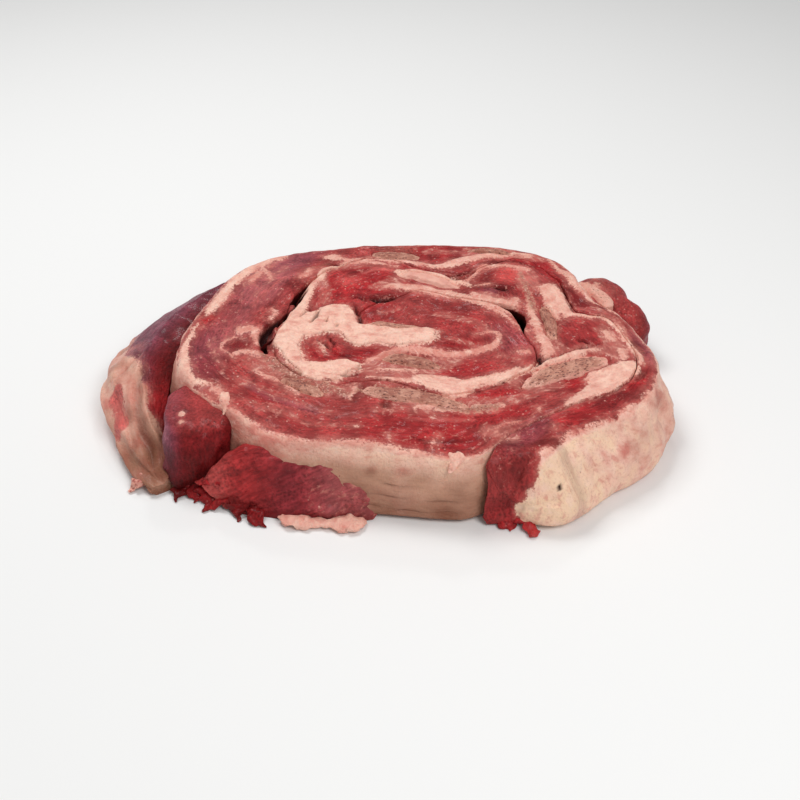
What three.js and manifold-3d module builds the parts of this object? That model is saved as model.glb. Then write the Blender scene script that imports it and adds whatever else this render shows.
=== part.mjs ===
// Beef short rib strip: one long strip of short rib meat, cut across the ribs and coiled up on its
// long side, so that the cut face of lean, fat and bone looks up. Sizes are millimetres and +Z is up.
// The coil is drawn round its own middle, and the group moves it so that the origin is the middle of
// the strip's outline, on the surface that it rests on. Angles are degrees, counter-clockwise from +X,
// and go past 360 as the strip winds inwards.
import * as THREE from "three";
import { mergeVertices } from "three/addons/utils/BufferGeometryUtils.js";
import Module from "manifold-3d";

const STRIP_HEIGHT = 30; // width of the strip, which stands on edge
const TOP_RELIEF = 0.7; // how far the cut face rises and falls
const EDGE_ROUND = 3.2; // soft corner between the cut face and the sides
const EDGE_SOFT = 0.3; // share of the corner at which it is broken by one more point
const THIN_SHARE = 1 / 3; // where the strip is thin, a corner takes at most this share of it
const FOOT_ROUND = 2.2; // corner between the sides and the flat underside
const TURN_GAP = 0.8; // seam between one turn and the next
const CORE = [2, 9]; // where the strip folds shut on itself, inside the last turn
const CORE_RADIUS = 1.5; // thin hollow left there
const FOLD_REACH = 0.72; // share of the last fold that its slit runs through
const FOLD_ANGLE = 720;
const START_ANGLE = -70; // inner corner of the outer cut end
const END_SKEW = 14; // the outer cut end is sliced at a slant: its outer corner is this far on
const SKEW_REACH = 45; // angle over which the slant fades
const END_ANGLE = 888; // inner end of the strip
const STATION_STEP = 5; // angle between two sections of the strip
const ACROSS_STEPS = 5; // points across the cut face
const WALL_STEPS = 4; // points up each side

// The strip's outer edge at the top, from its outer cut end inwards: [angle, radius].
const EDGE = [
  [-75, 93], [-45, 83], [-27, 94.5], [-8, 100.5], [11, 95], [25, 89], [47, 98.5], [75, 87], [105, 83],
  [130, 91.5], [160, 86], [190, 93], [212, 82], [234, 76.5], [250, 68.5], [272, 69], [288, 74], [304, 69],
  [319, 71.5], [330, 78], [345, 91], [357, 92.5], [372, 88], [380, 78], [398, 84.5], [413, 87.5], [427, 60],
  [443, 60], [464, 71.5], [494, 65], [526, 56.5], [551, 56.5], [572, 45.5], [601, 31], [623, 28], [650, 37],
  [681, 45], [705, 53], [732, 49.5], [750, 50], [780, 41], [804, 41], [822, 34], [858, 30], [888, 30],
];

// How far each side of the coil bulges out below its top edge: [angle, bulge].
const SIDE_BULGE = [
  [-70, 9], [-50, 14], [-25, 12], [0, 7], [40, 5], [90, 4], [180, 4], [240, 7], [285, 5], [330, 0],
];
const BULGE_DEPTH = 0.8; // share of the height, from the top down, where a side bulges most

// Openings between turns, wider than the seam: [angle of the outer turn, half reach, width].
const OPENINGS = [[-72, 20, 4.5], [145, 26, 2.6], [178, 16, 3.6], [388, 20, 5.5], [468, 14, 2.2]];

// Rib bones: where each section of bone stands in the coil, its length and width, and its turn.
// A bone is as high as the cut face round it, unless its height is given.
const BONES = [
  { name: "rib_bone_1", at: [2, -36.2], size: [36, 8], turn: -13 },
  { name: "rib_bone_2", at: [63.2, -17.2], size: [38, 10], turn: 26 },
  { name: "rib_bone_3", at: [60, 18.3], size: [31, 5.5], turn: 95 },
  { name: "rib_bone_4", at: [9.8, 50.8], size: [31, 6], turn: -20 },
  { name: "rib_bone_5", at: [-5.5, 73.2], size: [23, 7.5], turn: -2 },
  { name: "rib_bone_6", at: [39, 76.5], size: [22, 5.5], turn: -12 },
  { name: "rib_bone_7", at: [2.2, -11.7], size: [23, 7.5], turn: -13 },
  { name: "rib_bone_8", at: [-41, -29.6], size: [20, 7.2], turn: -35 },
  { name: "rib_bone_9", at: [-6, 13], size: [25, 4.2], turn: -13 },
  { name: "rib_bone_10", at: [85.5, 42.5], size: [19, 7], turn: -60, height: 28 },
];
const BONE_CLEARANCE = 0.35;
const BONE_PROUD = 0.6; // hard bone stands a little above the soft meat
const BONE_SIDES = 18;
const BONE_UNEVEN = 0.08; // share by which a bone's outline wanders
const BONE_BLUNT = 0.75; // below 1 its oval is squarer than an ellipse

// Loose outer muscle that hugs the coil's left side and ends in a flap of fat on the surface:
// [angle, inner radius, crest radius, crest height, outer radius, shoulder height].
const FLAP_STATIONS = [
  [122, 80, 88, 22, 92, 10],
  [136, 84, 98, 23, 107, 12],
  [152, 82, 103, 23, 116, 11.5],
  [168, 84, 107, 23, 124, 11],
  [182, 97, 109, 23.5, 126.5, 10.5],
  [194, 99, 107.5, 20, 122, 8],
  [204, 101, 106.5, 14, 118.5, 5],
  [213, 103, 107, 5, 115.5, 2.5],
];
const FLAP_STEP = 3;
const FLAP_RING = 14;

// Rounded lumps of muscle joined to the coil: middle, half sizes and the turn about +Z.
const LUMPS = [
  { at: [-80, -42, 11.5], half: [15, 21, 17], turn: 8, uneven: 0.05 },
  { at: [-86, -22, 5], half: [14, 20, 9], turn: 20, uneven: 0.1 },
  { at: [87, 49, 12], half: [14, 16, 17], turn: 40, uneven: 0.06 },
  { at: [95, 41, 11], half: [11, 18, 15], turn: 20, uneven: 0.08 },
];
const LUMP_ROUND = 22;
const LUMP_RISE = 12;

// Front flap: a torn slab of muscle that leans on the front side. Each row is one upright section:
// [x, foot y, top y, height, thickness].
const SLAB_STATIONS = [
  [-79, -65, -62, 3, 4],
  [-67, -70, -60, 19, 11],
  [-54, -73, -61.5, 23, 14],
  [-42, -75, -63.5, 22.5, 14],
  [-30, -76, -65.5, 20.5, 13],
  [-20, -76, -68, 15, 11],
  [-11, -75.5, -71, 2.5, 5],
];
const SLAB_STEP = 4;
const SLAB_RING = 14;
const SLAB_FULL = 0.8; // below 1 its sections are fuller than a sine arch
const SLAB_LEAN = 0.25; // share of its thickness by which the front leans back at the top

const LEAN = new THREE.MeshStandardMaterial({ color: 0x9c3f45, roughness: 0.45, metalness: 0 });
const BONE = new THREE.MeshStandardMaterial({ color: 0xb39a86, roughness: 0.7, metalness: 0 });

const TURN = 360;
const toRadians = THREE.MathUtils.degToRad;
const mix = THREE.MathUtils.lerp;
const limit = THREE.MathUtils.clamp;

// Smooth curve through knots of [place, value] that lie at uneven steps.
function curveThrough(knots, place) {
  const last = knots.length - 1;
  const index = limit(knots.findIndex((knot) => knot[0] > place) - 1, 0, last - 1);
  const start = place >= knots[last][0] ? last - 1 : index;
  const share = limit((place - knots[start][0]) / (knots[start + 1][0] - knots[start][0]), 0, 1);
  const slope = (k) => {
    const [before, after] = [knots[Math.max(k - 1, 0)], knots[Math.min(k + 1, last)]];
    return ((after[1] - before[1]) / (after[0] - before[0])) * (knots[start + 1][0] - knots[start][0]);
  };
  const [s2, s3] = [share ** 2, share ** 3];
  const ends = knots[start][1] * (2 * s3 - 3 * s2 + 1) + knots[start + 1][1] * (3 * s2 - 2 * s3);
  return ends + slope(start) * (s3 - 2 * s2 + share) + slope(start + 1) * (s3 - s2);
}

// Values of a table's row at a place along its first column, eased between rows.
function rowAt(rows, place) {
  const next = rows.findIndex((row) => row[0] > place);
  if (next === 0) return rows[0].slice(1);
  if (next < 0) return rows[rows.length - 1].slice(1);
  const [before, after] = [rows[next - 1], rows[next]];
  const share = THREE.MathUtils.smoothstep(place, before[0], after[0]);
  const straight = (place - before[0]) / (after[0] - before[0]);
  return before.slice(1).map((value, k) => mix(value, after[k + 1], mix(straight, share, 0.5)));
}

const edgeRadius = (angle) => curveThrough(EDGE, angle);
const middleOfCoil = new THREE.Vector2();
const rotated = (x, y, angle) => new THREE.Vector2(x, y).rotateAround(middleOfCoil, toRadians(angle));
const polar = (radius, angle) => rotated(radius, 0, angle);

// Bulge of a side at a height: none at the top edge, most low down, less again at the foot.
function sideBulge(angle, height) {
  const depth = limit(1 - height / STRIP_HEIGHT, 0, 1);
  return rowAt(SIDE_BULGE, angle)[0] * Math.sin((depth / BULGE_DEPTH) * (Math.PI / 2));
}

const outerRadius = (angle, height) => edgeRadius(angle) + sideBulge(angle, height);

// Width of the opening between a turn and the one inside it.
function openingAt(angle) {
  return OPENINGS.reduce((most, [middle, reach, width]) => {
    const share = limit(1 - Math.abs(angle - middle) / reach, 0, 1);
    return Math.max(most, width * THREE.MathUtils.smoothstep(share, 0, 1));
  }, TURN_GAP);
}

// The inner side follows the next turn's outer side. In the last turn it runs in to the core instead,
// and halfway round it stops short, at the slit of the fold.
function innerPoint(angle, height) {
  if (angle + TURN <= END_ANGLE + STATION_STEP / 2) {
    return polar(outerRadius(angle + TURN, height) + openingAt(angle), angle);
  }
  const end = polar(CORE_RADIUS, angle).add(new THREE.Vector2(...CORE));
  const fold = Math.abs(angle - FOLD_ANGLE) < STATION_STEP / 2;
  return fold ? end.lerp(polar(outerRadius(angle, height), angle), FOLD_REACH) : end;
}

// Gentle rise and fall of the cut face, from its place in the plan.
function topHeight(x, y) {
  const cross = Math.sin(x * 0.11 + 0.7) * Math.cos(y * 0.13 - 0.4);
  const slant = 0.6 * Math.sin(x * 0.05 - y * 0.21 + 1.9);
  return STRIP_HEIGHT - TOP_RELIEF + TOP_RELIEF * (cross + slant);
}

// One section of the strip as [share across, height, corner inset], foot to foot over the top.
function stripSection() {
  const ring = [];
  const rise = (k) => mix(FOOT_ROUND, STRIP_HEIGHT - EDGE_ROUND, k / WALL_STEPS);
  for (let k = 0; k <= WALL_STEPS; k++) ring.push({ across: 1, height: rise(k), inset: 0 });
  ring.push({ across: 1, height: STRIP_HEIGHT - EDGE_ROUND * EDGE_SOFT, inset: EDGE_ROUND * EDGE_SOFT });
  for (let k = ACROSS_STEPS; k >= 0; k--) {
    ring.push({ across: k / ACROSS_STEPS, height: null, inset: EDGE_ROUND });
  }
  ring.push({ across: 0, height: STRIP_HEIGHT - EDGE_ROUND * EDGE_SOFT, inset: EDGE_ROUND * EDGE_SOFT });
  for (let k = WALL_STEPS; k >= 0; k -= 2) ring.push({ across: 0, height: rise(k), inset: 0 });
  ring.push({ across: 0, height: 0, inset: FOOT_ROUND });
  ring.push({ across: 1, height: 0, inset: FOOT_ROUND });
  return ring;
}

const SECTION = stripSection();

// A point of the strip's surface, in the coil's own frame.
function stripPoint(station, ringIndex) {
  const { across, height, inset } = SECTION[ringIndex];
  const along = Math.min(START_ANGLE + station * STATION_STEP, END_ANGLE);
  const fade = THREE.MathUtils.smoothstep(along, START_ANGLE, START_ANGLE + SKEW_REACH);
  const angle = along + END_SKEW * across * (1 - fade);
  const level = height ?? STRIP_HEIGHT;
  const inner = innerPoint(angle, level);
  const outer = polar(outerRadius(angle, level), angle);
  const margin = Math.min(inset / inner.distanceTo(outer), THIN_SHARE);
  const { x, y } = inner.lerp(outer, mix(margin, 1 - margin, across));
  return [x, y, height ?? topHeight(x, y)];
}

// Turns a geometry into a closed solid whose shared corners are one vertex.
function toSolid(geometry) {
  geometry.deleteAttribute("normal");
  geometry.deleteAttribute("uv");
  const merged = mergeVertices(geometry, 1e-4);
  const build = () =>
    new wasm.Manifold(
      new wasm.Mesh({
        numProp: 3,
        vertProperties: merged.attributes.position.array,
        triVerts: new Uint32Array(merged.index.array),
      }),
    );
  const solid = build();
  if (solid.volume() > 0) return solid;
  const faces = merged.index.array;
  for (let k = 0; k < faces.length; k += 3) [faces[k + 1], faces[k + 2]] = [faces[k + 2], faces[k + 1]];
  return build();
}

// A solid swept through sections: a cylinder whose rings are moved to place(station, ring index).
// The middle of each end cap goes to the middle of its ring.
function sweptSolid(stations, ringCount, place) {
  const geometry = new THREE.CylinderGeometry(1, 1, 1, ringCount, stations - 1);
  const position = geometry.attributes.position;
  for (let k = 0; k < position.count; k++) {
    const [x, y, z] = [position.getX(k), position.getY(k), position.getZ(k)];
    const station = Math.round((0.5 - y) * (stations - 1));
    if (Math.hypot(x, z) < 0.5) {
      const middle = new THREE.Vector3();
      for (let n = 0; n < ringCount; n++) middle.add(new THREE.Vector3(...place(station, n)));
      position.setXYZ(k, ...middle.divideScalar(ringCount).toArray());
    } else {
      const turn = (Math.atan2(x, z) / (2 * Math.PI) + 1) % 1;
      position.setXYZ(k, ...place(station, Math.round(turn * ringCount) % ringCount));
    }
  }
  return toSolid(geometry);
}

// Section of a low rounded ridge: share is 0 at the inner foot and 1 at the outer foot, over the top.
// Each stop is [share, radius, height].
function ridgePoint(share, inner, crest, outer, height, shoulder) {
  const stops = [
    [0, inner, 0],
    [0.18, inner, height * 0.72],
    [0.4, crest, height],
    [0.62, mix(crest, outer, 0.62), mix(height, shoulder, 0.45)],
    [0.82, outer, shoulder],
    [1, outer - FOOT_ROUND, 0],
  ];
  return rowAt(stops, share);
}

function flapPoint(station, ringIndex) {
  const first = FLAP_STATIONS[0][0];
  const last = FLAP_STATIONS.at(-1)[0];
  const angle = Math.min(first + station * FLAP_STEP, last);
  const [inner, crest, height, outer, shoulder] = rowAt(FLAP_STATIONS, angle);
  const [radius, level] = ridgePoint(ringIndex / (FLAP_RING - 1), inner, crest, outer, height, shoulder);
  return [radius * Math.cos(toRadians(angle)), radius * Math.sin(toRadians(angle)), level];
}

function slabPoint(station, ringIndex) {
  const first = SLAB_STATIONS[0][0];
  const last = SLAB_STATIONS.at(-1)[0];
  const x = Math.min(first + station * SLAB_STEP, last);
  const [foot, top, height, thickness] = rowAt(SLAB_STATIONS, x);
  const share = ringIndex / (SLAB_RING - 1);
  const rise = Math.sin(share * Math.PI) ** SLAB_FULL;
  const front = mix(foot, top - thickness * SLAB_LEAN, rise);
  const back = mix(foot + thickness, top + thickness * 0.5, rise);
  const y = mix(front, back, THREE.MathUtils.smoothstep(share, 0.25, 0.75));
  return [x, y, height * rise];
}

// A lump is a sphere stretched to size, made uneven and flattened where it meets the surface.
function lumpSolid({ at, half, turn, uneven }) {
  const geometry = new THREE.SphereGeometry(1, LUMP_ROUND, LUMP_RISE);
  const position = geometry.attributes.position;
  const axis = new THREE.Vector3(0, 0, 1);
  for (let k = 0; k < position.count; k++) {
    const point = new THREE.Vector3(position.getX(k), position.getZ(k), position.getY(k));
    const wave = Math.sin(3 * point.x + 2 * point.z + at[0]) * Math.cos(4 * point.y - point.z);
    point.multiplyScalar(1 + uneven * wave).multiply(new THREE.Vector3(...half));
    point.applyAxisAngle(axis, toRadians(turn)).add(new THREE.Vector3(...at));
    position.setXYZ(k, point.x, point.y, Math.max(point.z, 0));
  }
  return toSolid(geometry);
}

// A section of rib: an uneven oval prism as high as the strip, or with its clearance as a pocket.
function boneSolid({ at, size, turn, height }, clearance) {
  const bottom = clearance ? -1 : 0;
  const top = clearance ? STRIP_HEIGHT * 2 : (height ?? topHeight(...at) + BONE_PROUD);
  const place = (station, ringIndex) => {
    const around = (ringIndex / BONE_SIDES) * 2 * Math.PI;
    const wander = 1 + BONE_UNEVEN * (Math.sin(2 * around + at[0]) + Math.cos(3 * around + at[1]) / 2);
    const blunt = (value) => Math.sign(value) * Math.abs(value) ** BONE_BLUNT;
    const x = (size[0] / 2) * wander * blunt(Math.cos(around)) + clearance * Math.cos(around);
    const y = (size[1] / 2) * wander * blunt(Math.sin(around)) + clearance * Math.sin(around);
    const point = rotated(x, y, turn);
    return [point.x + at[0], point.y + at[1], station ? bottom : top];
  };
  return sweptSolid(2, BONE_SIDES, place);
}

function meshOf(solid, name, material) {
  const { vertProperties, triVerts } = solid.getMesh();
  const geometry = new THREE.BufferGeometry();
  geometry.setAttribute("position", new THREE.BufferAttribute(vertProperties, 3));
  geometry.setIndex(new THREE.BufferAttribute(triVerts, 1));
  geometry.computeVertexNormals();
  const mesh = new THREE.Mesh(geometry, material);
  mesh.name = name;
  return mesh;
}

const wasm = await Module();
wasm.setup();

const countOf = (first, last, step) => Math.ceil((last - first) / step) + 1;
const rowCount = (rows, step) => countOf(rows[0][0], rows.at(-1)[0], step);
const coil = sweptSolid(countOf(START_ANGLE, END_ANGLE, STATION_STEP), SECTION.length, stripPoint);
const flap = sweptSolid(rowCount(FLAP_STATIONS, FLAP_STEP), FLAP_RING, flapPoint);
const slab = sweptSolid(rowCount(SLAB_STATIONS, SLAB_STEP), SLAB_RING, slabPoint);

let meat = coil.add(flap).add(slab);
for (const lump of LUMPS) meat = meat.add(lumpSolid(lump));
for (const bone of BONES) meat = meat.subtract(boneSolid(bone, BONE_CLEARANCE));

const strip = new THREE.Group();
strip.add(meshOf(meat, "rib_strip", LEAN));
for (const bone of BONES) strip.add(meshOf(boneSolid(bone, 0), bone.name, BONE));

const box = new THREE.Box3().setFromObject(strip);
const middle = box.getCenter(new THREE.Vector3());
for (const mesh of strip.children) mesh.position.set(-middle.x, -middle.y, -box.min.z);

export default strip;
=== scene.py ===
import math

import bpy
import numpy as np
from mathutils import Matrix, Vector


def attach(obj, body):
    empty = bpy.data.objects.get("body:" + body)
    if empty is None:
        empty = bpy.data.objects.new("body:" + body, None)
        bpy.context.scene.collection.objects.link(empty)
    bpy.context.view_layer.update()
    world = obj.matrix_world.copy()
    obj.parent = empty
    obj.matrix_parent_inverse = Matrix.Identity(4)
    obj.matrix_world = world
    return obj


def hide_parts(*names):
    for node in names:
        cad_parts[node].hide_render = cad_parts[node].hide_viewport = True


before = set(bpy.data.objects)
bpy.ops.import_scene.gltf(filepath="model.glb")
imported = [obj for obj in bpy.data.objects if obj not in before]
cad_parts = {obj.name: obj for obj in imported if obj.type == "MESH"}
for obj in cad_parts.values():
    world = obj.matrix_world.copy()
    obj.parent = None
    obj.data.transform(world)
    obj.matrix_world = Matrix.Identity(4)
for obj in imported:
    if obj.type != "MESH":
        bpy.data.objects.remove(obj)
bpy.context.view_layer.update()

# Camera
# It stands in front of the strip and looks down on it at 37 degrees, on a normal lens.
# Lengths here and below are millimetres, and MM turns them into metres.
MM = 0.001
CAMERA_PLACE = (6.52, -364.96, 274.0)
CAMERA_PITCH = 37.184
CAMERA_ROLL = 0.615
FOCAL_SHARE = 1059.63 / 800  # focal length as a share of the picture's width
SENSOR = 36.0
NEAREST = 10.0  # nothing closer than this is drawn

pitch = math.radians(CAMERA_PITCH)
roll = math.radians(CAMERA_ROLL)
forward = Vector((0, math.cos(pitch), -math.sin(pitch)))
level_right = Vector((1, 0, 0))
level_up = level_right.cross(forward)
right = math.cos(roll) * level_right + math.sin(roll) * level_up
up = math.cos(roll) * level_up - math.sin(roll) * level_right
camera_data = bpy.data.cameras.new("camera")
camera_data.sensor_width = SENSOR
camera_data.lens = FOCAL_SHARE * SENSOR
camera_data.clip_start = NEAREST * MM
camera = bpy.data.objects.new("camera", camera_data)
camera_turn = Matrix((right, up, -forward)).transposed().to_4x4()
camera.matrix_world = Matrix.Translation(Vector(CAMERA_PLACE) * MM) @ camera_turn
bpy.context.scene.collection.objects.link(camera)
bpy.context.scene.camera = camera

# Light and floor
# A white sweep under a bright overcast sky and two soft boxes, as in a small product studio.
SKY_LIGHT = 0.34
FLOOR_SIZE = 6.0
SOFT_BOXES = [
    # place in metres, size in metres, watts
    ((-0.3, 0.25, 0.8), 0.35, 3.6),
    ((0.35, -0.45, 0.7), 0.4, 3.3),
    ((0.05, 0.65, 0.7), 0.08, 0.6),
]


def linear_colour(hex_code):
    """Linear RGBA of an sRGB hex colour."""
    parts = [int(hex_code[k:k + 2], 16) / 255 for k in (1, 3, 5)]
    return [c / 12.92 if c <= 0.04045 else ((c + 0.055) / 1.055) ** 2.4 for c in parts] + [1.0]


world = bpy.data.worlds.new("studio")
bpy.context.scene.world = world
world.use_nodes = True
sky = world.node_tree.nodes["Background"]
sky.inputs["Color"].default_value = (1.0, 1.0, 1.0, 1.0)
sky.inputs["Strength"].default_value = SKY_LIGHT
bpy.context.scene.view_settings.view_transform = "Standard"

for place, size, watts in SOFT_BOXES:
    lamp_data = bpy.data.lights.new("soft_box", "AREA")
    lamp_data.size = size
    lamp_data.energy = watts
    lamp = bpy.data.objects.new("soft_box", lamp_data)
    lamp.location = place
    lamp.rotation_euler = (-Vector(place)).to_track_quat("-Z", "Y").to_euler()
    bpy.context.scene.collection.objects.link(lamp)


def new_material(name):
    """A new material, its node tree and its shader."""
    material = bpy.data.materials.new(name)
    material.use_nodes = True
    return material, material.node_tree, material.node_tree.nodes["Principled BSDF"]


# Painted white board, plain and matt.
white_board, _, board_shader = new_material("matt white board")
board_shader.inputs["Base Color"].default_value = linear_colour("#F0F0EF")
board_shader.inputs["Roughness"].default_value = 0.9
bpy.ops.object.select_all(action="DESELECT")
bpy.ops.mesh.primitive_plane_add(size=FLOOR_SIZE, location=(0, 0, 0))
floor = bpy.context.object
floor.name = "floor"
floor.data.materials.append(white_board)

# Coiled strip
# One long strip of short rib meat, cut across the ribs with a band saw and coiled up on its long side.
# It is raw muscle in bundles along the strip, with seams of soft fat and a cover of firmer fat outside.
# Places are millimetres from the middle of the coil, and to_scene moves them to the frame of the part.
# Angles are degrees, counter-clockwise from +X, and go past 360 as the strip winds inwards.
COIL_OFFSET = (9.322, -3.764)  # place of the coil's middle in the frame of the part
STRIP_HEIGHT = 30.0
TOP_RELIEF = 0.7  # how far the cut face rises and falls
EDGE_ROUND = 2.6  # soft corner between the cut face and the outer side
SEAM_ROUND = 0.7  # where two turns meet
THIN_SHARE = 1 / 3  # where the strip is thin, a corner takes at most this share of it
FOOT_ROUND = 2.2  # corner between the sides and the flat underside
TURN_GAP = 0.15  # the turns press on each other
CORE = (2.0, 9.0)  # where the strip folds shut on itself, inside the last turn
CORE_RADIUS = 0.3
START_ANGLE = -70.0  # inner corner of the outer cut end
END_SKEW = 14.0  # the outer cut end is sliced at a slant: its outer corner is this far on
SKEW_REACH = 45.0  # angle over which the slant fades
END_ANGLE = 888.0  # inner end of the strip
FULL_TURN = 360.0
ANGLE_STEP = 0.25  # step at which the strip's length is measured
TURN_WEIGHT = 0.8  # how much the way round the coil counts beside the length of the middle line
JUMP_LIMIT = 1.6  # a jump of the middle line counts as this many steps round the coil at most
SPLIT_GAP = 0.01  # how close to the start of the core a section lies on either side
OUTERMOST_TURN = 300.0  # up to this angle the strip's outer side is the outer side of the coil
BULGE_DEPTH = 0.8  # share of the height, from the top down, where a side bulges most
END_ROUND = 10.0  # over this length the sections shrink, so that the cut end is a blunt lump
END_POWER = 3.6  # 2 is round, and higher is blunter
END_BLUNTNESS = 2.2  # the same for the outline of its sections
END_SWELL = 3.0  # how far its middle stands out
END_SECTIONS = 26
END_SMALLEST = 0.06  # share to which the sections shrink
END_MIDDLE = (0.62, 12.0)  # share of the width and height that they shrink towards

# The strip's outer edge at the top, from its outer cut end inwards: (angle, radius).
EDGE = [
    (-75, 93), (-45, 83), (-27, 94.5), (-8, 100.5), (11, 95), (25, 89), (47, 98.5), (75, 87), (105, 84),
    (128, 92.5), (144, 96), (160, 92), (176, 92.5), (190, 93.5), (212, 82), (234, 76.5), (250, 68.5),
    (272, 69), (288, 74), (304, 69), (319, 71.5), (330, 78), (345, 91), (357, 92.5), (372, 88), (380, 78),
    (398, 84.5), (413, 87.5), (427, 60), (443, 60), (464, 71.5), (494, 62.8), (509, 57), (524, 54),
    (548, 54.5), (572, 45.5), (601, 31), (623, 28), (650, 37), (681, 45), (705, 53), (732, 49.5), (750, 50),
    (780, 41), (804, 41), (822, 34), (858, 30), (888, 30),
]
# How far each side of the coil bulges out below its top edge: (angle, bulge).
SIDE_BULGE = [
    (-70, 9), (-50, 14), (-25, 12), (0, 7), (40, 5), (90, 4), (180, 4), (240, 7), (285, 5), (330, 0),
]
OPENING_CLOSES = 0.25  # share by which an opening between turns narrows at the cut face
OPENING_NARROWS = (16, 27)  # heights between which it does so
# Openings between turns: (angle of the outer turn, half reach, width).
OPENINGS = [(-72, 18, 3.0), (146, 24, 4.2), (162, 16, 4.6), (183, 13, 7.2), (386, 17, 7.4), (468, 14, 1.6)]

STATIONS = 880  # sections along the strip, about 1 mm apart
CAP_RINGS = 14  # rings that close each cut end
TOP_STEPS = 52
CORNER_STEPS = 5
OUTER_STEPS = 26
INNER_STEPS = 8
FOOT_STEPS = 4


def smoothstep(low, high, values):
    share = np.clip((np.asarray(values, float) - low) / (high - low), 0, 1)
    return share * share * (3 - 2 * share)


def curve_through(knots, places):
    """Smooth curve through knots of (place, value) that lie at uneven steps."""
    spots, values = np.array(knots, float).T
    index = np.clip(np.searchsorted(spots, places, side="right") - 1, 0, len(spots) - 2)
    span = spots[index + 1] - spots[index]
    share = np.clip((places - spots[index]) / span, 0, 1)

    def slope(k):
        before = np.maximum(k - 1, 0)
        after = np.minimum(k + 1, len(spots) - 1)
        return (values[after] - values[before]) / (spots[after] - spots[before]) * span

    squared = share ** 2
    cubed = share ** 3
    ends = values[index] * (2 * cubed - 3 * squared + 1) + values[index + 1] * (3 * squared - 2 * cubed)
    turns = slope(index) * (cubed - 2 * squared + share) + slope(index + 1) * (cubed - squared)
    return ends + turns


def row_at(rows, places):
    """Values of a table's row at each place along its first column, eased between rows."""
    table = np.array(rows, float)
    index = np.clip(np.searchsorted(table[:, 0], places, side="right") - 1, 0, len(table) - 2)
    straight = (places - table[index, 0]) / (table[index + 1, 0] - table[index, 0])
    straight = np.clip(straight, 0, 1)
    share = (straight + smoothstep(0, 1, straight)) / 2
    before = table[index, 1:]
    return (before + (table[index + 1, 1:] - before) * share[:, None]).T


NOISE_CELLS = 32  # the noise repeats after this many bumps
NOISE_START = 97.3  # keeps the middle of the coil off the corners of the noise's cells


def value_noise(points, size, seed):
    """Smooth noise from -1 to 1 whose bumps are about size millimetres across."""
    lattice = np.random.RandomState(seed).uniform(-1, 1, (NOISE_CELLS, NOISE_CELLS, NOISE_CELLS))
    scaled = np.asarray(points, float) / size + NOISE_START
    base = np.floor(scaled).astype(int)
    part = scaled - base
    part = part * part * (3 - 2 * part)
    total = np.zeros(len(scaled))
    for corner in range(8):
        step = np.array([corner & 1, corner >> 1 & 1, corner >> 2 & 1])
        cell = (base + step) % NOISE_CELLS
        weight = np.prod(np.where(step, part, 1 - part), axis=1)
        total += weight * lattice[cell[:, 0], cell[:, 1], cell[:, 2]]
    return total


def noise_shift(points, size, seeds):
    """A small shift of each point, with noise of its own for each axis."""
    return np.stack([value_noise(points, size, seed) for seed in seeds], axis=1)


def soft_spot(points, middle, reach):
    """How much a soft round spot covers each point: 1 at its middle, and little past its reach."""
    return np.exp(-(((points - np.array(middle)) / np.array(reach)) ** 2).sum(axis=1))


def turned(points, degrees):
    """Plan points turned counter-clockwise about the origin."""
    cos, sin = math.cos(math.radians(degrees)), math.sin(math.radians(degrees))
    return np.asarray(points)[:, :2] @ np.array([[cos, sin], [-sin, cos]])


def polar(radius, angle):
    turn = np.radians(angle)
    return np.stack([radius * np.cos(turn), radius * np.sin(turn)], axis=-1)


def outer_radius(angle, height):
    depth = np.clip(1 - height / STRIP_HEIGHT, 0, 1)
    bulge = row_at(SIDE_BULGE, angle)[0] * np.sin(depth / BULGE_DEPTH * math.pi / 2)
    return curve_through(EDGE, angle) + bulge


def opening_at(angle, height):
    """Width of the gap on a turn's inner side; an opening is narrower at the cut face than below it."""
    width = np.full(angle.shape, TURN_GAP)
    for middle, reach, most in OPENINGS:
        share = np.clip(1 - np.abs(angle - middle) / reach, 0, 1)
        width = np.maximum(width, most * smoothstep(0, 1, share))
    return width * (1 - OPENING_CLOSES * smoothstep(*OPENING_NARROWS, height))


def inner_place(angle, height):
    """The inner side follows the next turn's outer side, and in the last turn it runs in to the core."""
    next_turn = np.minimum(angle + FULL_TURN, END_ANGLE)
    along_turn = polar(outer_radius(next_turn, height) + opening_at(angle, height), angle)
    to_core = polar(np.full(angle.shape, CORE_RADIUS), angle) + np.array(CORE)
    return np.where((angle + FULL_TURN <= END_ANGLE)[:, None], along_turn, to_core)


def top_height(x, y):
    """Gentle rise and fall of the cut face, from its place in the plan."""
    cross = np.sin(x * 0.11 + 0.7) * np.cos(y * 0.13 - 0.4)
    slant = 0.6 * np.sin(x * 0.05 - y * 0.21 + 1.9)
    return STRIP_HEIGHT - TOP_RELIEF + TOP_RELIEF * (cross + slant)


def strip_section():
    """One section of the strip, foot to foot over the top: share across, rise and inset of each point.
    The rise is 0 at the surface that it rests on, 1 where the top corner starts and 2 on the cut face."""
    ring = [(1.0, k / OUTER_STEPS, 0.0) for k in range(OUTER_STEPS + 1)]
    quarter = [(k + 1) / (CORNER_STEPS + 1) * math.pi / 2 for k in range(CORNER_STEPS)]
    ring += [(1.0, 1 + math.sin(turn), 1 - math.cos(turn)) for turn in quarter]
    ring += [(1 - k / TOP_STEPS, 2.0, 1.0) for k in range(TOP_STEPS + 1)]
    ring += [(0.0, 1 + math.sin(turn), 1 - math.cos(turn)) for turn in reversed(quarter)]
    ring += [(0.0, 1 - k / INNER_STEPS, 0.0) for k in range(INNER_STEPS + 1)]
    ring += [(k / FOOT_STEPS, -1.0, 1.0) for k in range(FOOT_STEPS + 1)]
    return np.array(ring)


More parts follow.
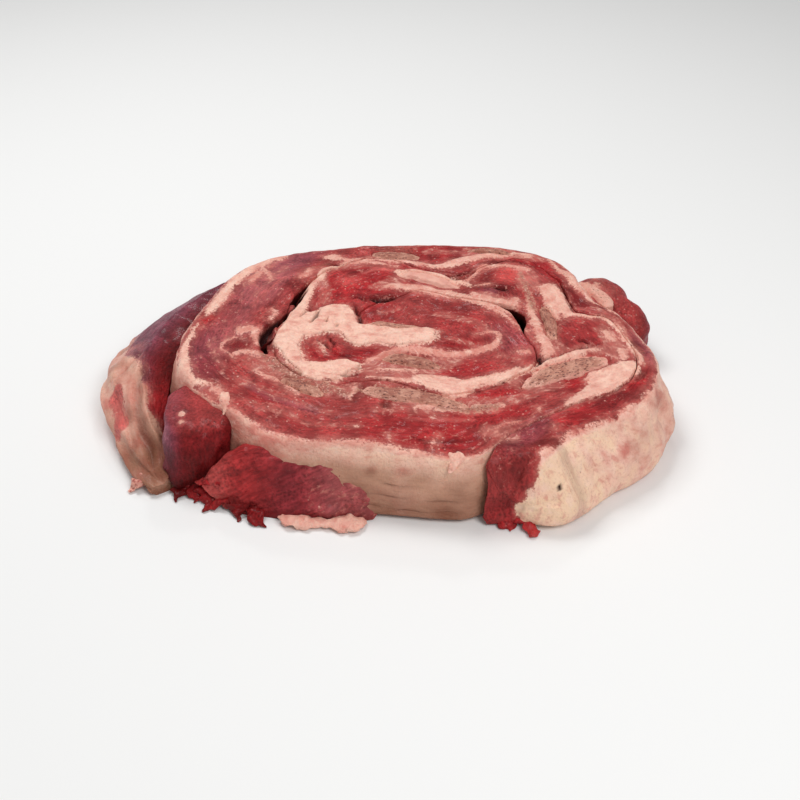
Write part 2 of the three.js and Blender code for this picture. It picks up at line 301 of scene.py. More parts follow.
def even_angles(count):
    """Angles of sections that lie evenly along the strip's middle line."""
    fine = np.arange(START_ANGLE, END_ANGLE + ANGLE_STEP, ANGLE_STEP)
    inner = inner_place(fine, np.full(fine.shape, STRIP_HEIGHT))
    middle = (inner + polar(curve_through(EDGE, fine), fine)) / 2
    steps = np.linalg.norm(np.diff(middle, axis=0), axis=1)
    turning = np.radians(ANGLE_STEP) * curve_through(EDGE, fine[1:]) * TURN_WEIGHT
    way = np.concatenate([[0], np.cumsum(np.clip(steps, 0, turning * JUMP_LIMIT) + turning)])
    spread = np.interp(np.linspace(0, way[-1], count - 2 - END_SECTIONS), way, fine)
    split = END_ANGLE - FULL_TURN
    scales = np.linspace(END_SMALLEST, 0.95, END_SECTIONS)
    depths = END_ROUND * (1 - (1 - scales ** END_POWER) ** (1 / END_POWER))
    end_angles = START_ANGLE + np.degrees(depths / curve_through(EDGE, np.array([START_ANGLE]))[0])
    return np.sort(np.concatenate([spread, [split - SPLIT_GAP, split + SPLIT_GAP], end_angles]))


section = strip_section()
angles = even_angles(STATIONS)
ring_count = len(section)
across, rise, inset = (np.tile(section[:, k], STATIONS) for k in range(3))
along = np.repeat(angles, ring_count)
skew = 1 - smoothstep(START_ANGLE, START_ANGLE + SKEW_REACH, along)
angle = along + END_SKEW * across * skew
core_turn = along + FULL_TURN > END_ANGLE
rise = np.where(core_turn & (across < 0.5) & (rise > 1), 2.0, rise)

# How far along the strip each section is, in millimetres, for the muscle fibres.
outer_line = polar(curve_through(EDGE, angles), angles)
strides = np.linalg.norm(np.diff(outer_line, axis=0), axis=1)
distance = np.repeat(np.concatenate([[0], np.cumsum(strides)]), ring_count)

# How much smaller the sections at the outer cut end are, and how close a point is to it.
end_depth = np.clip(distance / END_ROUND, 0, 1)
end_scale = np.maximum((1 - (1 - end_depth) ** END_POWER) ** (1 / END_POWER), END_SMALLEST)
near_end = 1 - smoothstep(0.8 * END_ROUND, 1.7 * END_ROUND, distance)

# Height of each point before the relief of the cut face, and how far in from the side it lies.
wall_top = STRIP_HEIGHT - EDGE_ROUND
height = np.interp(rise, [-1, 0, 1, 2], [0, FOOT_ROUND, wall_top, STRIP_HEIGHT])
open_here = opening_at(angle, np.zeros(angle.shape)) - TURN_GAP
outermost = (across > 0.5) & (along < OUTERMOST_TURN)
edge_round = np.where(outermost, EDGE_ROUND, SEAM_ROUND + 0.3 * open_here)
side_inset = np.where(rise < 0, FOOT_ROUND, inset * edge_round)
inner = inner_place(angle, height)
outer = polar(outer_radius(angle, height), angle)
width = np.maximum(np.linalg.norm(outer - inner, axis=1), 0.5)
margin = np.minimum(side_inset / width, THIN_SHARE)
inner_margin = np.where(core_turn, 0.0, margin)
share = inner_margin + (1 - inner_margin - margin) * across
plan = inner + (outer - inner) * share[:, None]
on_top = np.clip(rise - 1, 0, 1)
from_inner = share * width
from_outer = width - from_inner

# Fat on the cut face, as strokes: tone from 0, white, to 1, pink, then (x, y, width) along the stroke.
# A tone above 1 is fat that only shows as wisps in the lean: fewer of them towards 2.
FAT_STROKES = [
    (0.45, [(-58, 70, 4), (-66, 66, 6), (-72, 60, 7)]),
    (0.25, [(-73, 58, 5), (-76, 53, 6), (-78.5, 46, 5), (-80, 38, 5.5), (-82, 30, 5.5), (-84, 24, 4.5),
            (-85, 20, 2)]),
    (0.2, [(-88, 12, 1.2), (-89.5, 6, 2), (-90.5, 0, 3), (-91, -8, 4), (-89.5, -16, 5), (-87, -24, 6),
            (-84, -28, 4.5), (-79, -29.5, 2.5), (-76, -30, 1.5)]),
    (0.15, [(-27, 66, 1.6), (-33, 61.5, 2.4), (-37, 57, 3), (-40.5, 49, 4), (-43.5, 41, 5),
            (-45.5, 34, 5.5), (-46.5, 27, 6), (-48.5, 21, 6), (-50.5, 14, 7)]),
    (0.75, [(-31, 65, 2), (-25, 65.5, 3), (-18, 65.5, 3), (-10, 64.5, 2), (-5, 62.5, 2)]),
    (0.6, [(-38, 71.5, 3), (-34, 70.5, 5), (-30, 69, 3), (-24, 68, 2.5), (-14, 68, 2.5), (-5, 67, 3),
            (3, 65.5, 3.5), (10, 63, 3), (13, 61, 2)]),
    (0.35, [(12, 62, 4), (18, 63.5, 5), (24, 67, 5), (32, 70.5, 5), (42, 72.5, 4.5), (50, 74.5, 4),
            (56, 73, 3)]),
    (0.2, [(-4, 57, 4), (4, 56, 5), (12, 54, 5), (19, 51.5, 5.5), (25, 48.5, 5), (28, 46, 3)]),
    (0.5, [(-10, 45.5, 3), (-4, 45, 5), (3, 43, 5.5), (10, 41, 6), (17, 38.5, 6), (24, 35.5, 5.5),
            (31, 31.5, 5), (36, 27, 3), (41, 21.5, 2.4), (46, 15, 1.4), (50, 9, 1.2)]),
    (0.55, [(29, 38, 3), (34, 34, 6), (40, 31, 8), (45, 31, 6), (47, 35, 3)]),
    (0.55, [(40, 27, 5), (44, 25, 5), (45.5, 22, 3)]),
    (0.7, [(27, 50.5, 1.5), (30, 56, 2), (33, 60.5, 2.5), (38, 63.5, 3), (44, 64.5, 3), (50, 63.5, 3),
            (54, 61.5, 3)]),
    (0.7, [(31, 46.5, 1.5), (34, 48, 2.2), (37, 50, 1.5)]),
    (0.5, [(52.5, 35, 2.5), (53, 30, 3.5), (53.5, 24, 4), (54, 16, 4.4), (55, 8, 4.6), (56.5, 0, 4.6),
            (57, -5, 5), (56, -9, 3)]),
    (0.3, [(69, 26, 3), (72, 23.5, 3), (76, 21.5, 2.8), (82, 20, 3), (87, 15, 3), (90, 8, 3), (92, 0, 3),
            (93, -7, 3), (94, -13, 2.5)]),
    (0.45, [(66, 71, 2), (70, 62, 2.5), (73, 57, 5), (75.5, 51, 8), (77.5, 46, 8), (80, 40, 5.5),
            (84.5, 33.5, 5), (89.5, 26, 4.5), (94, 18, 2.8), (97.4, 9, 2), (99.6, 1, 1.6), (100.6, -6, 1.6),
            (101.5, -13, 1.8)]),
    (0.15, [(46, -19, 3), (52, -15.5, 4), (58, -12, 4), (64, -9, 4.5), (69, -6.5, 4.5), (73, -4.5, 2)]),
    (0.4, [(71, -4.5, 2), (76, -4, 3), (80, -2.5, 1.5)]),
    (0.75, [(-16, -13, 3), (-9, -8, 3.5), (0, -5, 4), (8, -6, 4.5), (15, -7, 4.5), (21, -6.5, 4.5),
            (28, -4, 4.2), (34, -0.5, 4.2), (38, 4, 3.2), (38, 8, 2.2), (33, 9, 1.5), (28, 7, 1.2)]),
    (1.25, [(-17, -19, 8), (-10, -18, 14), (0, -17, 14), (10, -15, 12), (18, -12, 8)]),
    (0.4, [(-12, -19, 2), (-4, -18.5, 3), (4, -19, 2)]),
    (0.45, [(-16, -25.5, 2), (-8, -25, 2.5), (0, -25.5, 3)]),
    (0.5, [(4, -42.5, 2.5), (12, -43.5, 5), (20, -43.5, 5), (28, -42, 4), (36, -40.5, 2)]),
    (0.8, [(28.5, -66, 0.2), (28.5, -60, 0.3), (31, -55, 0.4), (36, -52, 0.9), (42, -51, 0.7)]),
    (0.6, [(9.2, -67.5, 0.6), (9, -64.5, 0.8), (11.5, -61, 0.3)]),
    (0.4, [(-6.5, -59.5, 0.4), (-6, -65, 0.8)]),
    (0.7, [(-66, 3, 0.8), (-71, 4, 1.1), (-75, 0.5, 1.3), (-75.5, -5, 1.3), (-73, -10, 1.2),
            (-69, -12, 0.8)]),
    (0.75, [(-70, 8, 4), (-65, 9, 4), (-62, 8, 2)]),
    (0.7, [(-63, 6, 3.5), (-62, 2, 3.5), (-62.5, -1.5, 2)]),
    (0.75, [(-70, -9, 3), (-66.5, -7, 3.5), (-62, -9.5, 3.5), (-57, -10.5, 2)]),
    (0.55, [(-60, -19.5, 1.2), (-56, -22.5, 2.2), (-51, -25.5, 2.2), (-47, -28.5, 2.4), (-44, -32.5, 3),
            (-41, -36, 1.5)]),
    (0.5, [(-73.5, -31, 1.5), (-72.5, -34, 2.5), (-70.5, -38, 2), (-69.5, -42, 2.5)]),
    (0.5, [(-72.5, -35, 1.5), (-75, -32.5, 2.5)]),
    (0.65, [(-70, 62, 1.5), (-64, 57, 2.5), (-62, 50, 1.5)]),
    (0.75, [(-68, 56, 4), (-70, 50, 3.5), (-71, 46, 1.5)]),
    (0.85, [(-44, 58, 3), (-45, 54.5, 4), (-48, 51, 2.5)]),
    (0.8, [(-58, 26, 1.5), (-57, 22, 2.8), (-58, 17, 2)]),
    (0.3, [(-36, 0.5, 1), (-34, -4, 2.2), (-33, -9, 1.5)]),
    (0.6, [(45, -4.5, 2.4), (48.5, -4.5, 3)]),
    (0.7, [(37, -8.5, 1.2), (40, -7.8, 1.5)]),
    (0.3, [(37.5, -69.5, 0.9), (40, -68.5, 1.3)]),
    (0.5, [(53.5, -54, 0.9), (54.5, -53.6, 0.9)]),
    (0.5, [(49.5, -45, 1.2), (50, -43, 1.6)]),
    (0.6, [(33, -57.5, 1.6), (33.5, -56.8, 1.4)]),
    (0.55, [(-20, -54, 1.4), (-19, -54.4, 1.6)]),
    (0.6, [(-22, -36, 2.5), (-20.5, -32, 3.4)]),
    (0.3, [(51, -66.5, 0.8), (54, -64.5, 1.2), (56, -63, 0.8)]),
    # Mottled places, where fat and lean are mixed.
    (1.7, [(-66, 62, 9), (-71, 54, 8), (-73, 46, 4)]),
    (1.7, [(-56, 60, 6), (-62, 48, 4), (-67, 36, 3)]),
    (1.8, [(-28, 62, 7), (-18, 63, 5), (-8, 61, 5)]),
    (1.6, [(-16, 70, 8), (-4, 69, 6), (6, 67, 4)]),
    (1.7, [(10, 78, 8), (22, 77, 6)]),
    (1.6, [(28, 76, 10), (40, 77, 9), (52, 74, 9), (62, 72, 8)]),
    (1.6, [(34, 36, 10), (44, 30, 10)]),
    (1.7, [(53, 60, 8), (56, 50, 8), (55, 42, 7)]),
    (1.5, [(60, 12, 9), (60, 3, 8), (62, -4, 7)]),
    (1.5, [(68, -4, 6), (76, -2, 9), (82, -6, 6)]),
    (1.7, [(80, 30, 5), (88, 18, 5), (93, 6, 3)]),
    (1.6, [(42, -26, 9), (50, -30, 7), (60, -26, 6)]),
    (1.6, [(24, -40, 9), (36, -38, 8), (46, -34, 7)]),
    (1.6, [(0, -41, 8), (12, -43, 7), (24, -44, 5)]),
    (1.7, [(-62, -14, 9), (-52, -21, 10), (-42, -30, 9), (-34, -34, 8)]),
    (1.75, [(-66, -26, 7), (-56, -33, 6), (-46, -40, 6), (-30, -46, 5)]),
    (1.8, [(-62, -40, 5), (-48, -48, 5), (-32, -54, 5), (-18, -55, 4)]),
    (1.7, [(-80, 2, 4), (-78, -12, 4), (-72, -20, 4)]),
    (1.6, [(30, -56, 8), (38, -58, 9), (36, -64, 6)]),
    (1.6, [(-24, -33, 7), (-20, -30, 6)]),
    (1.7, [(-12, -44, 6), (0, -44, 7), (14, -50, 5)]),
    (1.7, [(14, 24, 7), (26, 18, 7), (34, 12, 6)]),
    (1.8, [(-12, 22, 6), (-4, 26, 5)]),
    (1.6, [(30, -1, 4), (16, 3, 4)]),
    (1.7, [(46, -8, 6), (44, -14, 5)]),
    (1.6, [(-38, 50, 6), (-36, 40, 6), (-36, 32, 6)]),
    (1.6, [(-14, 46, 8), (-6, 50, 9), (4, 54, 5)]),
]
# Fat on the cut face, as patches: tone, then the outline.
FAT_PATCHES = [
    (0.1, [(-53, 14), (-50, 21), (-45.5, 27), (-42, 22), (-38, 27), (-33, 28.5), (-26, 27), (-22, 22),
            (-20, 15), (-10, 13.5), (5, 11.5), (13, 8), (12, 1), (5, -3), (-5, -4), (-12, -1), (-20, -2.5),
            (-25, 1), (-29, 6), (-34, 6), (-41, 4), (-44, -4), (-41, -13), (-37, -14.5), (-24, -13),
            (-18, -15.5), (-18, -20), (-23, -23), (-27, -27.5), (-36, -28), (-42, -23), (-46, -16),
            (-52, -9), (-55.8, -3.5), (-56.6, 4)]),
    (0.35, [(60, 46), (63, 47.5), (66, 46), (69, 40), (71, 33), (70.5, 27), (72.5, 23.5), (69, 21.5),
            (67.5, 20), (66, 24), (64.5, 17), (62.5, 22), (61, 29), (59.5, 36), (58, 44)]),
    (1.5, [(78, 12), (83, 16), (89, 9), (91, 0), (91, -8), (86, -13), (81, -10), (82, -3), (80, 5)]),
    (0.55, [(81, 10), (84, 12), (87, 6), (86, 2), (83, 6)]),
    (0.5, [(85, -2), (89, -2), (89.5, -9), (86, -11)]),
    (0.2, [(72, -19), (78, -15), (85, -12), (92, -12), (93.5, -17), (88, -24), (83, -29), (76, -33),
            (70, -37), (64, -41.5), (59, -42.5), (62, -37), (67, -33), (71, -27), (70, -22)]),
    (0.25, [(4, -22), (9, -21), (14, -23), (22, -25), (30, -24.5), (37, -22.5), (42, -17.5), (46.5, -17.5),
            (46, -21), (42, -25), (36, -28), (28, -31), (22, -36), (17, -37), (10, -33), (3, -29),
            (-2, -27)]),
]
# Rim of fat that folds over from the outer side onto the cut face: (angle, width).
FAT_RIM = [(-70, 0.2), (-56, 1.0), (-30, 1.2), (-12, 0.4), (20, 0.3), (120, 0.3), (205, 0.6), (215, 2.0),
           (240, 1.4), (262, 2.0), (285, 1.2), (300, 0.1), (330, 0)]
# Lean on the cut face: a soft patch each: colour, middle, half sizes, turn and strength. The dark patches
# that lie on seams and holes are painted shade.
ROSE = linear_colour("#9E3B39")
MAUVE = linear_colour("#8E424C")
CRIMSON = linear_colour("#A02024")
DEEP = linear_colour("#761A1C")
BLOOD_AND_SHADE = linear_colour("#5A0A0A")
BROWN = linear_colour("#944A40")
SALMON = linear_colour("#C8625C")
DUSKY = linear_colour("#A25558")
GLOW = linear_colour("#D4504C")
LEAN_PATCHES = [
    (MAUVE, (-56, 66), (22, 9), 40, 0.9),
    (DUSKY, (-64, 46), (12, 26), -25, 0.8),
    (DUSKY, (-74, 12), (9, 20), -5, 0.55),
    (MAUVE, (-82, -12), (9, 22), 5, 0.7),
    (DEEP, (-77, -20), (8, 14), 0, 0.5),
    (DEEP, (-50, 46), (3, 9), -20, 0.7),
    (DEEP, (-69, -2), (6, 6), 0, 0.9),
    # painted shade along the crevice between the turns
    (BLOOD_AND_SHADE, (-59, 8), (2.5, 10), -8, 0.9),
    (DEEP, (-76, 24), (6, 12), -15, 0.4),
    (BROWN, (-46, -24), (7, 16), 35, 0.9),
    (CRIMSON, (-55, -37), (8, 6), -20, 0.6),
    (CRIMSON, (-22, 46), (20, 17), 20, 0.95),
    (SALMON, (-27, 51), (6, 5), 40, 0.35),
    # painted shade in the hollow here, with the next patch
    (BLOOD_AND_SHADE, (-11, 34), (8, 5), 20, 0.85),
    (DEEP, (-20, 36), (6, 4), 0, 0.7),
    (CRIMSON, (-12, 24), (9, 7), 20, 0.7),
    (CRIMSON, (5, 60), (9, 3), -15, 0.8),
    (DEEP, (18, 56), (8, 3.5), -20, 0.7),
    (CRIMSON, (14, 78), (14, 9), 0, 0.85),
    (BLOOD_AND_SHADE, (12, 73), (4, 4), 0, 0.6),
    (BLOOD_AND_SHADE, (22, 70), (4, 3), 0, 0.6),
    (BROWN, (-5, 76), (10, 7), 0, 0.7),
    (CRIMSON, (62, 66), (12, 6), -50, 0.9),
    # painted shade along the seam here
    (BLOOD_AND_SHADE, (70, 46), (4, 13), 20, 0.55),
    (DEEP, (75, 33), (5, 10), 30, 0.9),
    (DEEP, (86, 24), (5, 9), 45, 0.6),
    (DEEP, (40, 48), (13, 12), 0, 0.8),
    # painted shade in the hole here
    (BLOOD_AND_SHADE, (40, 44), (6, 4), 20, 0.7),
    (MAUVE, (36, 41), (4, 4), 0, 0.6),
    (SALMON, (54, 54), (5, 9), 20, 0.95),
    (CRIMSON, (52.5, 40), (4, 7), 0, 0.9),
    (GLOW, (46.5, 58), (7, 9), -20, 0.85),
    (CRIMSON, (22, 16), (16, 12), -30, 0.45),
    (MAUVE, (42, 5), (8, 14), 30, 0.35),
    (DEEP, (15, 30), (16, 5), -15, 0.35),
    (CRIMSON, (22, 0), (11, 4), 8, 0.8),
    (CRIMSON, (23, -18), (13, 5), 5, 0.8),
    (CRIMSON, (-33, -9), (9, 8), 30, 0.95),
    (CRIMSON, (-18, -9), (8, 7), 40, 0.95),
    # painted shade in the seam here
    (DEEP, (-25, -10), (3, 2), 0, 0.9),
    (DEEP, (-22, -33), (7, 6), 0, 0.8),
    # painted shade in the pit here
    (BLOOD_AND_SHADE, (-8, -42), (3, 3), 0, 0.9),
    (CRIMSON, (33, -35), (12, 5), 15, 0.85),
    (CRIMSON, (68, -26), (6, 8), -35, 0.9),
    (CRIMSON, (0, -56), (26, 12), 0, 0.75),
    (CRIMSON, (30, -48), (22, 6), 15, 0.85),
    (CRIMSON, (18, -63), (12, 6), 0, 0.8),
    (DEEP, (40, -60), (16, 12), 50, 0.4),
    (MAUVE, (44, -58), (14, 5), 45, 0.5),
    (DEEP, (38, -76), (13, 14), 20, 0.2),
    (CRIMSON, (66, -46), (14, 4.5), 32, 0.8),
    (DEEP, (80, -35), (12, 5), 38, 0.95),
    (MAUVE, (96.5, 0), (3.5, 15), 8, 0.75),
    (CRIMSON, (90, -24), (9, 5), 55, 1.0),
    # painted shade by the seam here
    (BLOOD_AND_SHADE, (91.5, -21.5), (4, 2.4), 55, 0.9),
    (CRIMSON, (72, 8), (10, 10), 0, 0.45),
    (DEEP, (94, 4), (3, 12), 12, 0.4),
    (CRIMSON, (-40, -53), (12, 5), -20, 0.35),
]
# Streaks along the muscle: colour, strength, then (x, y, width) along the streak.
LEAN_STREAKS = [
    (CRIMSON, 1.0, [(-83, 18, 2.4), (-86, 14, 1.6), (-88.5, 9, 0.8)]),
    (SALMON, 0.5, [(-55, 50, 2), (-60, 43, 2), (-65, 34, 2), (-68, 27, 1.5)]),
    (DEEP, 0.5, [(-53, 45, 2), (-57, 36, 2), (-61, 26, 2)]),
    (SALMON, 0.4, [(-63, 62, 3), (-67, 54, 4), (-70, 46, 3)]),
    (BROWN, 0.9, [(-35, 65, 1.5), (-40, 62, 2), (-46, 60, 1)]),
    (CRIMSON, 0.7, [(48, 69, 3), (55, 67, 4), (60, 62, 5), (64, 56, 4), (67, 49, 4)]),
    (SALMON, 0.45, [(0, -50, 2), (12, -52, 3), (25, -51, 2)]),
    (SALMON, 0.35, [(-55, -45, 3), (-40, -47, 3), (-25, -47, 3), (-12, -48, 2)]),
    (MAUVE, 0.5, [(-62, -30, 3), (-50, -40, 4), (-35, -46, 4)]),
    (BLOOD_AND_SHADE, 0.6, [(2, -62, 1.5), (10, -64, 1.5), (22, -62, 1.5)]),
    (DEEP, 0.6, [(-15, 60, 2), (-22, 58, 2), (-28, 52, 2)]),
    (SALMON, 0.6, [(-20, 57, 2), (-14, 60, 3), (-6, 58, 2)]),
    # painted shade along the seam here
    (BLOOD_AND_SHADE, 0.8, [(30, 61, 2), (24, 56, 2.4), (21, 52, 2)]),
    (BLOOD_AND_SHADE, 0.7, [(33, 64, 1.6), (40, 67.5, 1.8), (50, 67.5, 1.8), (57, 64.5, 1.8)]),
    (BROWN, 0.7, [(84, 18, 1.5), (89, 12, 1.8), (93, 4, 2), (95.5, -4, 2)]),
    (SALMON, 0.5, [(72, 30, 3), (78, 28, 4), (84, 24, 3)]),
    (BROWN, 0.8, [(-42, 44, 1), (-44, 34, 1.2), (-47, 26, 1)]),
]
# Seams and holes in the cut face, sunk and painted dark as painted shade: depth in millimetres, then (x, y,
# width) along the seam.
SHADED_SEAMS = [
    (2.2, [(-22.5, 27, 1.6), (-20.5, 21, 2.4), (-19.5, 16, 2.4), (-18, 14, 1.4)]),
    (1.8, [(-38.5, 24, 1.5), (-39, 18, 2), (-41, 13, 1.2)]),
    (1.4, [(-42, 28, 1.2), (-43.5, 22, 1.6), (-46, 17, 1)]),
    (1.4, [(-33.5, 17, 1), (-34, 14, 1.5)]),
    (1.4, [(-29, 13, 1.5), (-29.5, 10.5, 1.2)]),
    (2, [(-37, 3, 1), (-33.5, -1.5, 1.6), (-29.5, -7, 1.4)]),
    (2, [(-32, 4, 1.4), (-30.5, 0, 1.8), (-30, -4, 1)]),
    (1.2, [(-41, 1, 1), (-38, -3, 1.2)]),
    (3.5, [(-17, 33.5, 2), (-12, 32, 5), (-7, 34.5, 4), (-5, 36, 2)]),
    (1.5, [(-24, 34, 1), (-20, 34.5, 2.2), (-18, 31, 1.5)]),
    (3, [(38, 46, 3), (41, 44.5, 4.5), (43, 45, 3)]),
    (2.5, [(70.5, 2.5, 1.5), (72.5, 3.8, 2.5), (74, 2.2, 2)]),
    (2.4, [(52.6, -12.6, 1.4), (56, -10.5, 2), (61, -8.5, 1.2), (66, -5, 1.2), (70, -2.5, 1.4),
            (76, 0.5, 1.2), (81, 3.5, 0.8)]),
    (2.5, [(53.5, -9, 3), (53.5, -13, 2.4), (51, -16, 2)]),
    (2, [(-29, -8.5, 1.6), (-26, -9.5, 2), (-23, -8, 1.4)]),
    (1.5, [(-28, -25, 1.2), (-24, -23.5, 2), (-20.5, -22.5, 2), (-18.5, -18, 1.6)]),
    (1.6, [(-8.5, -42, 3), (-7.5, -42.3, 2)]),
    (2.2, [(-34, 65, 2), (-32.5, 63.5, 3), (-36, 61.5, 1.5)]),
    (2, [(13, 57.5, 1), (19, 53.5, 1.6), (22, 51.5, 2.4), (26, 54.5, 1.4), (30, 59, 1)]),
    (1.6, [(66, 50, 1.2), (69, 42, 1.4), (70.5, 33, 1.6), (72, 26, 2), (77, 22.5, 1.6), (84, 20, 1)]),
    (4, [(-44.5, 42, 1.6), (-47, 35, 2.6), (-49.5, 28, 3), (-52.5, 21, 3.4), (-56.3, 14, 3.4),
            (-59.6, 7, 3.6), (-59.8, 0, 3.6), (-57.8, -6, 2)]),
    (0.7, [(94, -16, 1), (92, -22, 2), (90, -25, 1.6), (86, -30, 1)]),
    (1.6, [(-52, 20, 1.6), (-56.5, 12, 2.6), (-58, 4, 3), (-57, -4, 2)]),
    (1.0, [(-52, -22, 1.2), (-50, -24.5, 2), (-47, -26, 1.2)]),
    (0.9, [(-56, -19, 1), (-54, -20, 1.6)]),
    (1.0, [(71, -19.5, 1.5), (66, -22, 1), (60, -26.5, 1)]),
    (1.2, [(23, -68.5, 1), (26, -68, 1.6)]),
]


def smooth_path(path, steps=4):
    """More points along a path, on a smooth curve through its own."""
    path = np.array(path, float)
    if len(path) < 3:
        return path
    spots = np.arange(len(path), dtype=float)
    fine = np.linspace(0, len(path) - 1, (len(path) - 1) * steps + 1)
    columns = [curve_through(list(zip(spots, path[:, k])), fine) for k in range(path.shape[1])]
    return np.stack(columns, axis=1)


def near(points, low, high, reach):
    """Which points lie within reach of a box."""
    return np.all((points > np.array(low) - reach) & (points < np.array(high) + reach), axis=1)


def stroke_depth(points, path, reach=6.0):
    """How deep inside a stroke each plan point lies, in millimetres; negative outside."""
    path = smooth_path(path)
    depth = np.full(len(points), -reach)
    chosen = near(points, path[:, :2].min(0), path[:, :2].max(0), reach + path[:, 2].max())
    spots = points[chosen]
    best = np.full(len(spots), -reach)
    for start, end in zip(path[:-1], path[1:]):
        step = end[:2] - start[:2]
        part = np.clip(((spots - start[:2]) @ step) / max(step @ step, 1e-6), 0, 1)
        gap = np.linalg.norm(spots - start[:2] - part[:, None] * step, axis=1)
        best = np.maximum(best, (start[2] + (end[2] - start[2]) * part) / 2 - gap)
    depth[chosen] = best
    return depth


def outline_depth(points, outline, reach=6.0):
    """How deep inside a closed outline each plan point lies, in millimetres; negative outside."""
    outline = np.array(outline, float)
    depth = np.full(len(points), -reach)
    chosen = near(points, outline.min(0), outline.max(0), reach)
    spots = points[chosen]
    gap = np.full(len(spots), np.inf)
    inside = np.zeros(len(spots), bool)
    for start, end in zip(outline, np.roll(outline, -1, axis=0)):
        step = end - start
        part = np.clip(((spots - start) @ step) / max(step @ step, 1e-6), 0, 1)
        gap = np.minimum(gap, np.linalg.norm(spots - start - part[:, None] * step, axis=1))
        crosses = (start[1] > spots[:, 1]) != (end[1] > spots[:, 1])
        rise_y = end[1] - start[1] if end[1] != start[1] else 1e-9
        inside ^= crosses & (spots[:, 0] < start[0] + (spots[:, 1] - start[1]) / rise_y * step[0])
    depth[chosen] = np.maximum(np.where(inside, gap, -gap), -reach)
    return depth


def tint(colours, target, weight):
    colours += (np.array(target[:3]) - colours) * weight[:, None]


# Bands where saw crumbs of bone lie on the meat, tan and speckled: share, then (x, y, width).
TAN_BANDS = [
    (0.9, [(-58, -9, 3), (-52.5, -15, 6), (-46, -21.5, 7), (-39, -27, 7), (-31, -32, 6), (-24, -35, 3)]),
    (0.7, [(-19, -33, 2), (-10, -31.5, 4), (0, -33.5, 4), (10, -36, 3)]),
    (0.8, [(51.5, 58, 2), (52.5, 46, 3.4), (53.5, 36.5, 3.4), (54.4, 28, 2)]),
    (0.7, [(12, -43, 3), (22, -44.5, 4), (33, -42, 3)]),
    (0.8, [(80, 46, 3), (88, 38, 4), (92, 30, 3)]),
]


def paint_cut_face(points):
    """Fat depth, fat tone, lean colour, seam depth, mixed fat and tan share of points on the cut face. The
    seam depth also sets the painted shade in seams and holes.
    """
    lifted = np.column_stack([points, np.zeros(len(points))])
    warp = 0.9 * noise_shift(lifted, 6.0, (11, 13)) + 0.45 * noise_shift(lifted, 2.3, (12, 14))
    spots = points + warp
    fat = np.full(len(points), -6.0)
    tone_sum = np.full(len(points), 1e-6)
    tone_share = np.full(len(points), 0.4e-6)
    mixed = np.zeros(len(points))
    shapes = [(tone, stroke_depth(spots, path)) for tone, path in FAT_STROKES]
    shapes += [(tone, outline_depth(spots, outline)) for tone, outline in FAT_PATCHES]
    for tone, depth in shapes:
        if tone > 1:
            mixed = np.maximum(mixed, smoothstep(-1.2, 2.0, depth) * (2.2 - tone) / 0.7)
            continue
        fat = np.maximum(fat, depth)
        weight = np.exp(np.clip(depth, -6, 3) * 2)
        tone_sum += weight
        tone_share += weight * tone
    tan = np.zeros(len(points))
    for share, path in TAN_BANDS:
        depth = stroke_depth(spots, path)
        fat = np.maximum(fat, np.minimum(depth, 0.3))
        tan = np.maximum(tan, share * smoothstep(-1.5, 1.0, depth))
        mixed = np.maximum(mixed, share * smoothstep(-1.0, 1.5, depth))
    lean = np.tile(np.array(ROSE[:3]), (len(points), 1))
    for colour, middle, half, turn, strength in LEAN_PATCHES:
        reach = np.linalg.norm(turned(spots - np.array(middle), -turn) / np.array(half), axis=1)
        tint(lean, colour, strength * (1 - smoothstep(0.45, 1.35, reach)))
    for colour, strength, path in LEAN_STREAKS:
        tint(lean, colour, strength * smoothstep(-0.9, 0.6, stroke_depth(spots, path)))
    shaded_seam = np.zeros(len(points))
    for depth, path in SHADED_SEAMS:
        inside = stroke_depth(points + 0.5 * warp, path)
        half_width = max(width_here for _, _, width_here in path) / 2
        shaded_seam = np.maximum(shaded_seam, depth * smoothstep(-0.35, half_width * 0.9, inside))
    return fat, tone_share / tone_sum, lean, shaded_seam, np.clip(mixed, 0, 1), tan


# Sections of rib bone lie in the cut face, and the meat is a little lower where they are.
BONES = [
    # number, middle, size, turn
    (1, (2, -36.2), (37, 8.6), -13),
    (2, (63.2, -17.2), (38, 10), 26),
    (3, (60, 18.3), (31, 5.5), 95),
    (4, (9.8, 50.8), (31, 6), -20),
    (5, (-5.5, 73.2), (23, 7.5), -2),
    (6, (39, 76.5), (22, 5.5), -12),
    (7, (2.2, -11.7), (23, 7.5), -13),
    (8, (-41, -29.6), (20, 7.2), -35),
    (9, (-6, 13), (25, 4.2), -13),
    (10, (85.5, 42.5), (19, 7), -60),
]
BONE_UNEVEN = 0.08
BONE_BLUNT = 0.75
BONE_RING = 96
BONE_HOLLOW = 1.6


def bone_outline(middle, size, turn, scale):
    around = np.arange(BONE_RING) / BONE_RING * 2 * math.pi
    wander = 1 + BONE_UNEVEN * (np.sin(2 * around + middle[0]) + np.cos(3 * around + middle[1]) / 2)
    circle = np.column_stack([np.cos(around) * size[0] / 2, np.sin(around) * size[1] / 2, 0 * around])
    wander += 0.16 * value_noise(circle + np.array([*middle, 0]), 4.5, 92)
    wander += 0.08 * value_noise(circle + np.array([*middle, 0]), 1.8, 93)
    x = size[0] / 2 * wander * np.sign(np.cos(around)) * np.abs(np.cos(around)) ** BONE_BLUNT * scale
    y = size[1] / 2 * wander * np.sign(np.sin(around)) * np.abs(np.sin(around)) ** BONE_BLUNT * scale
    return turned(np.column_stack([x, y]), turn) + np.array(middle)


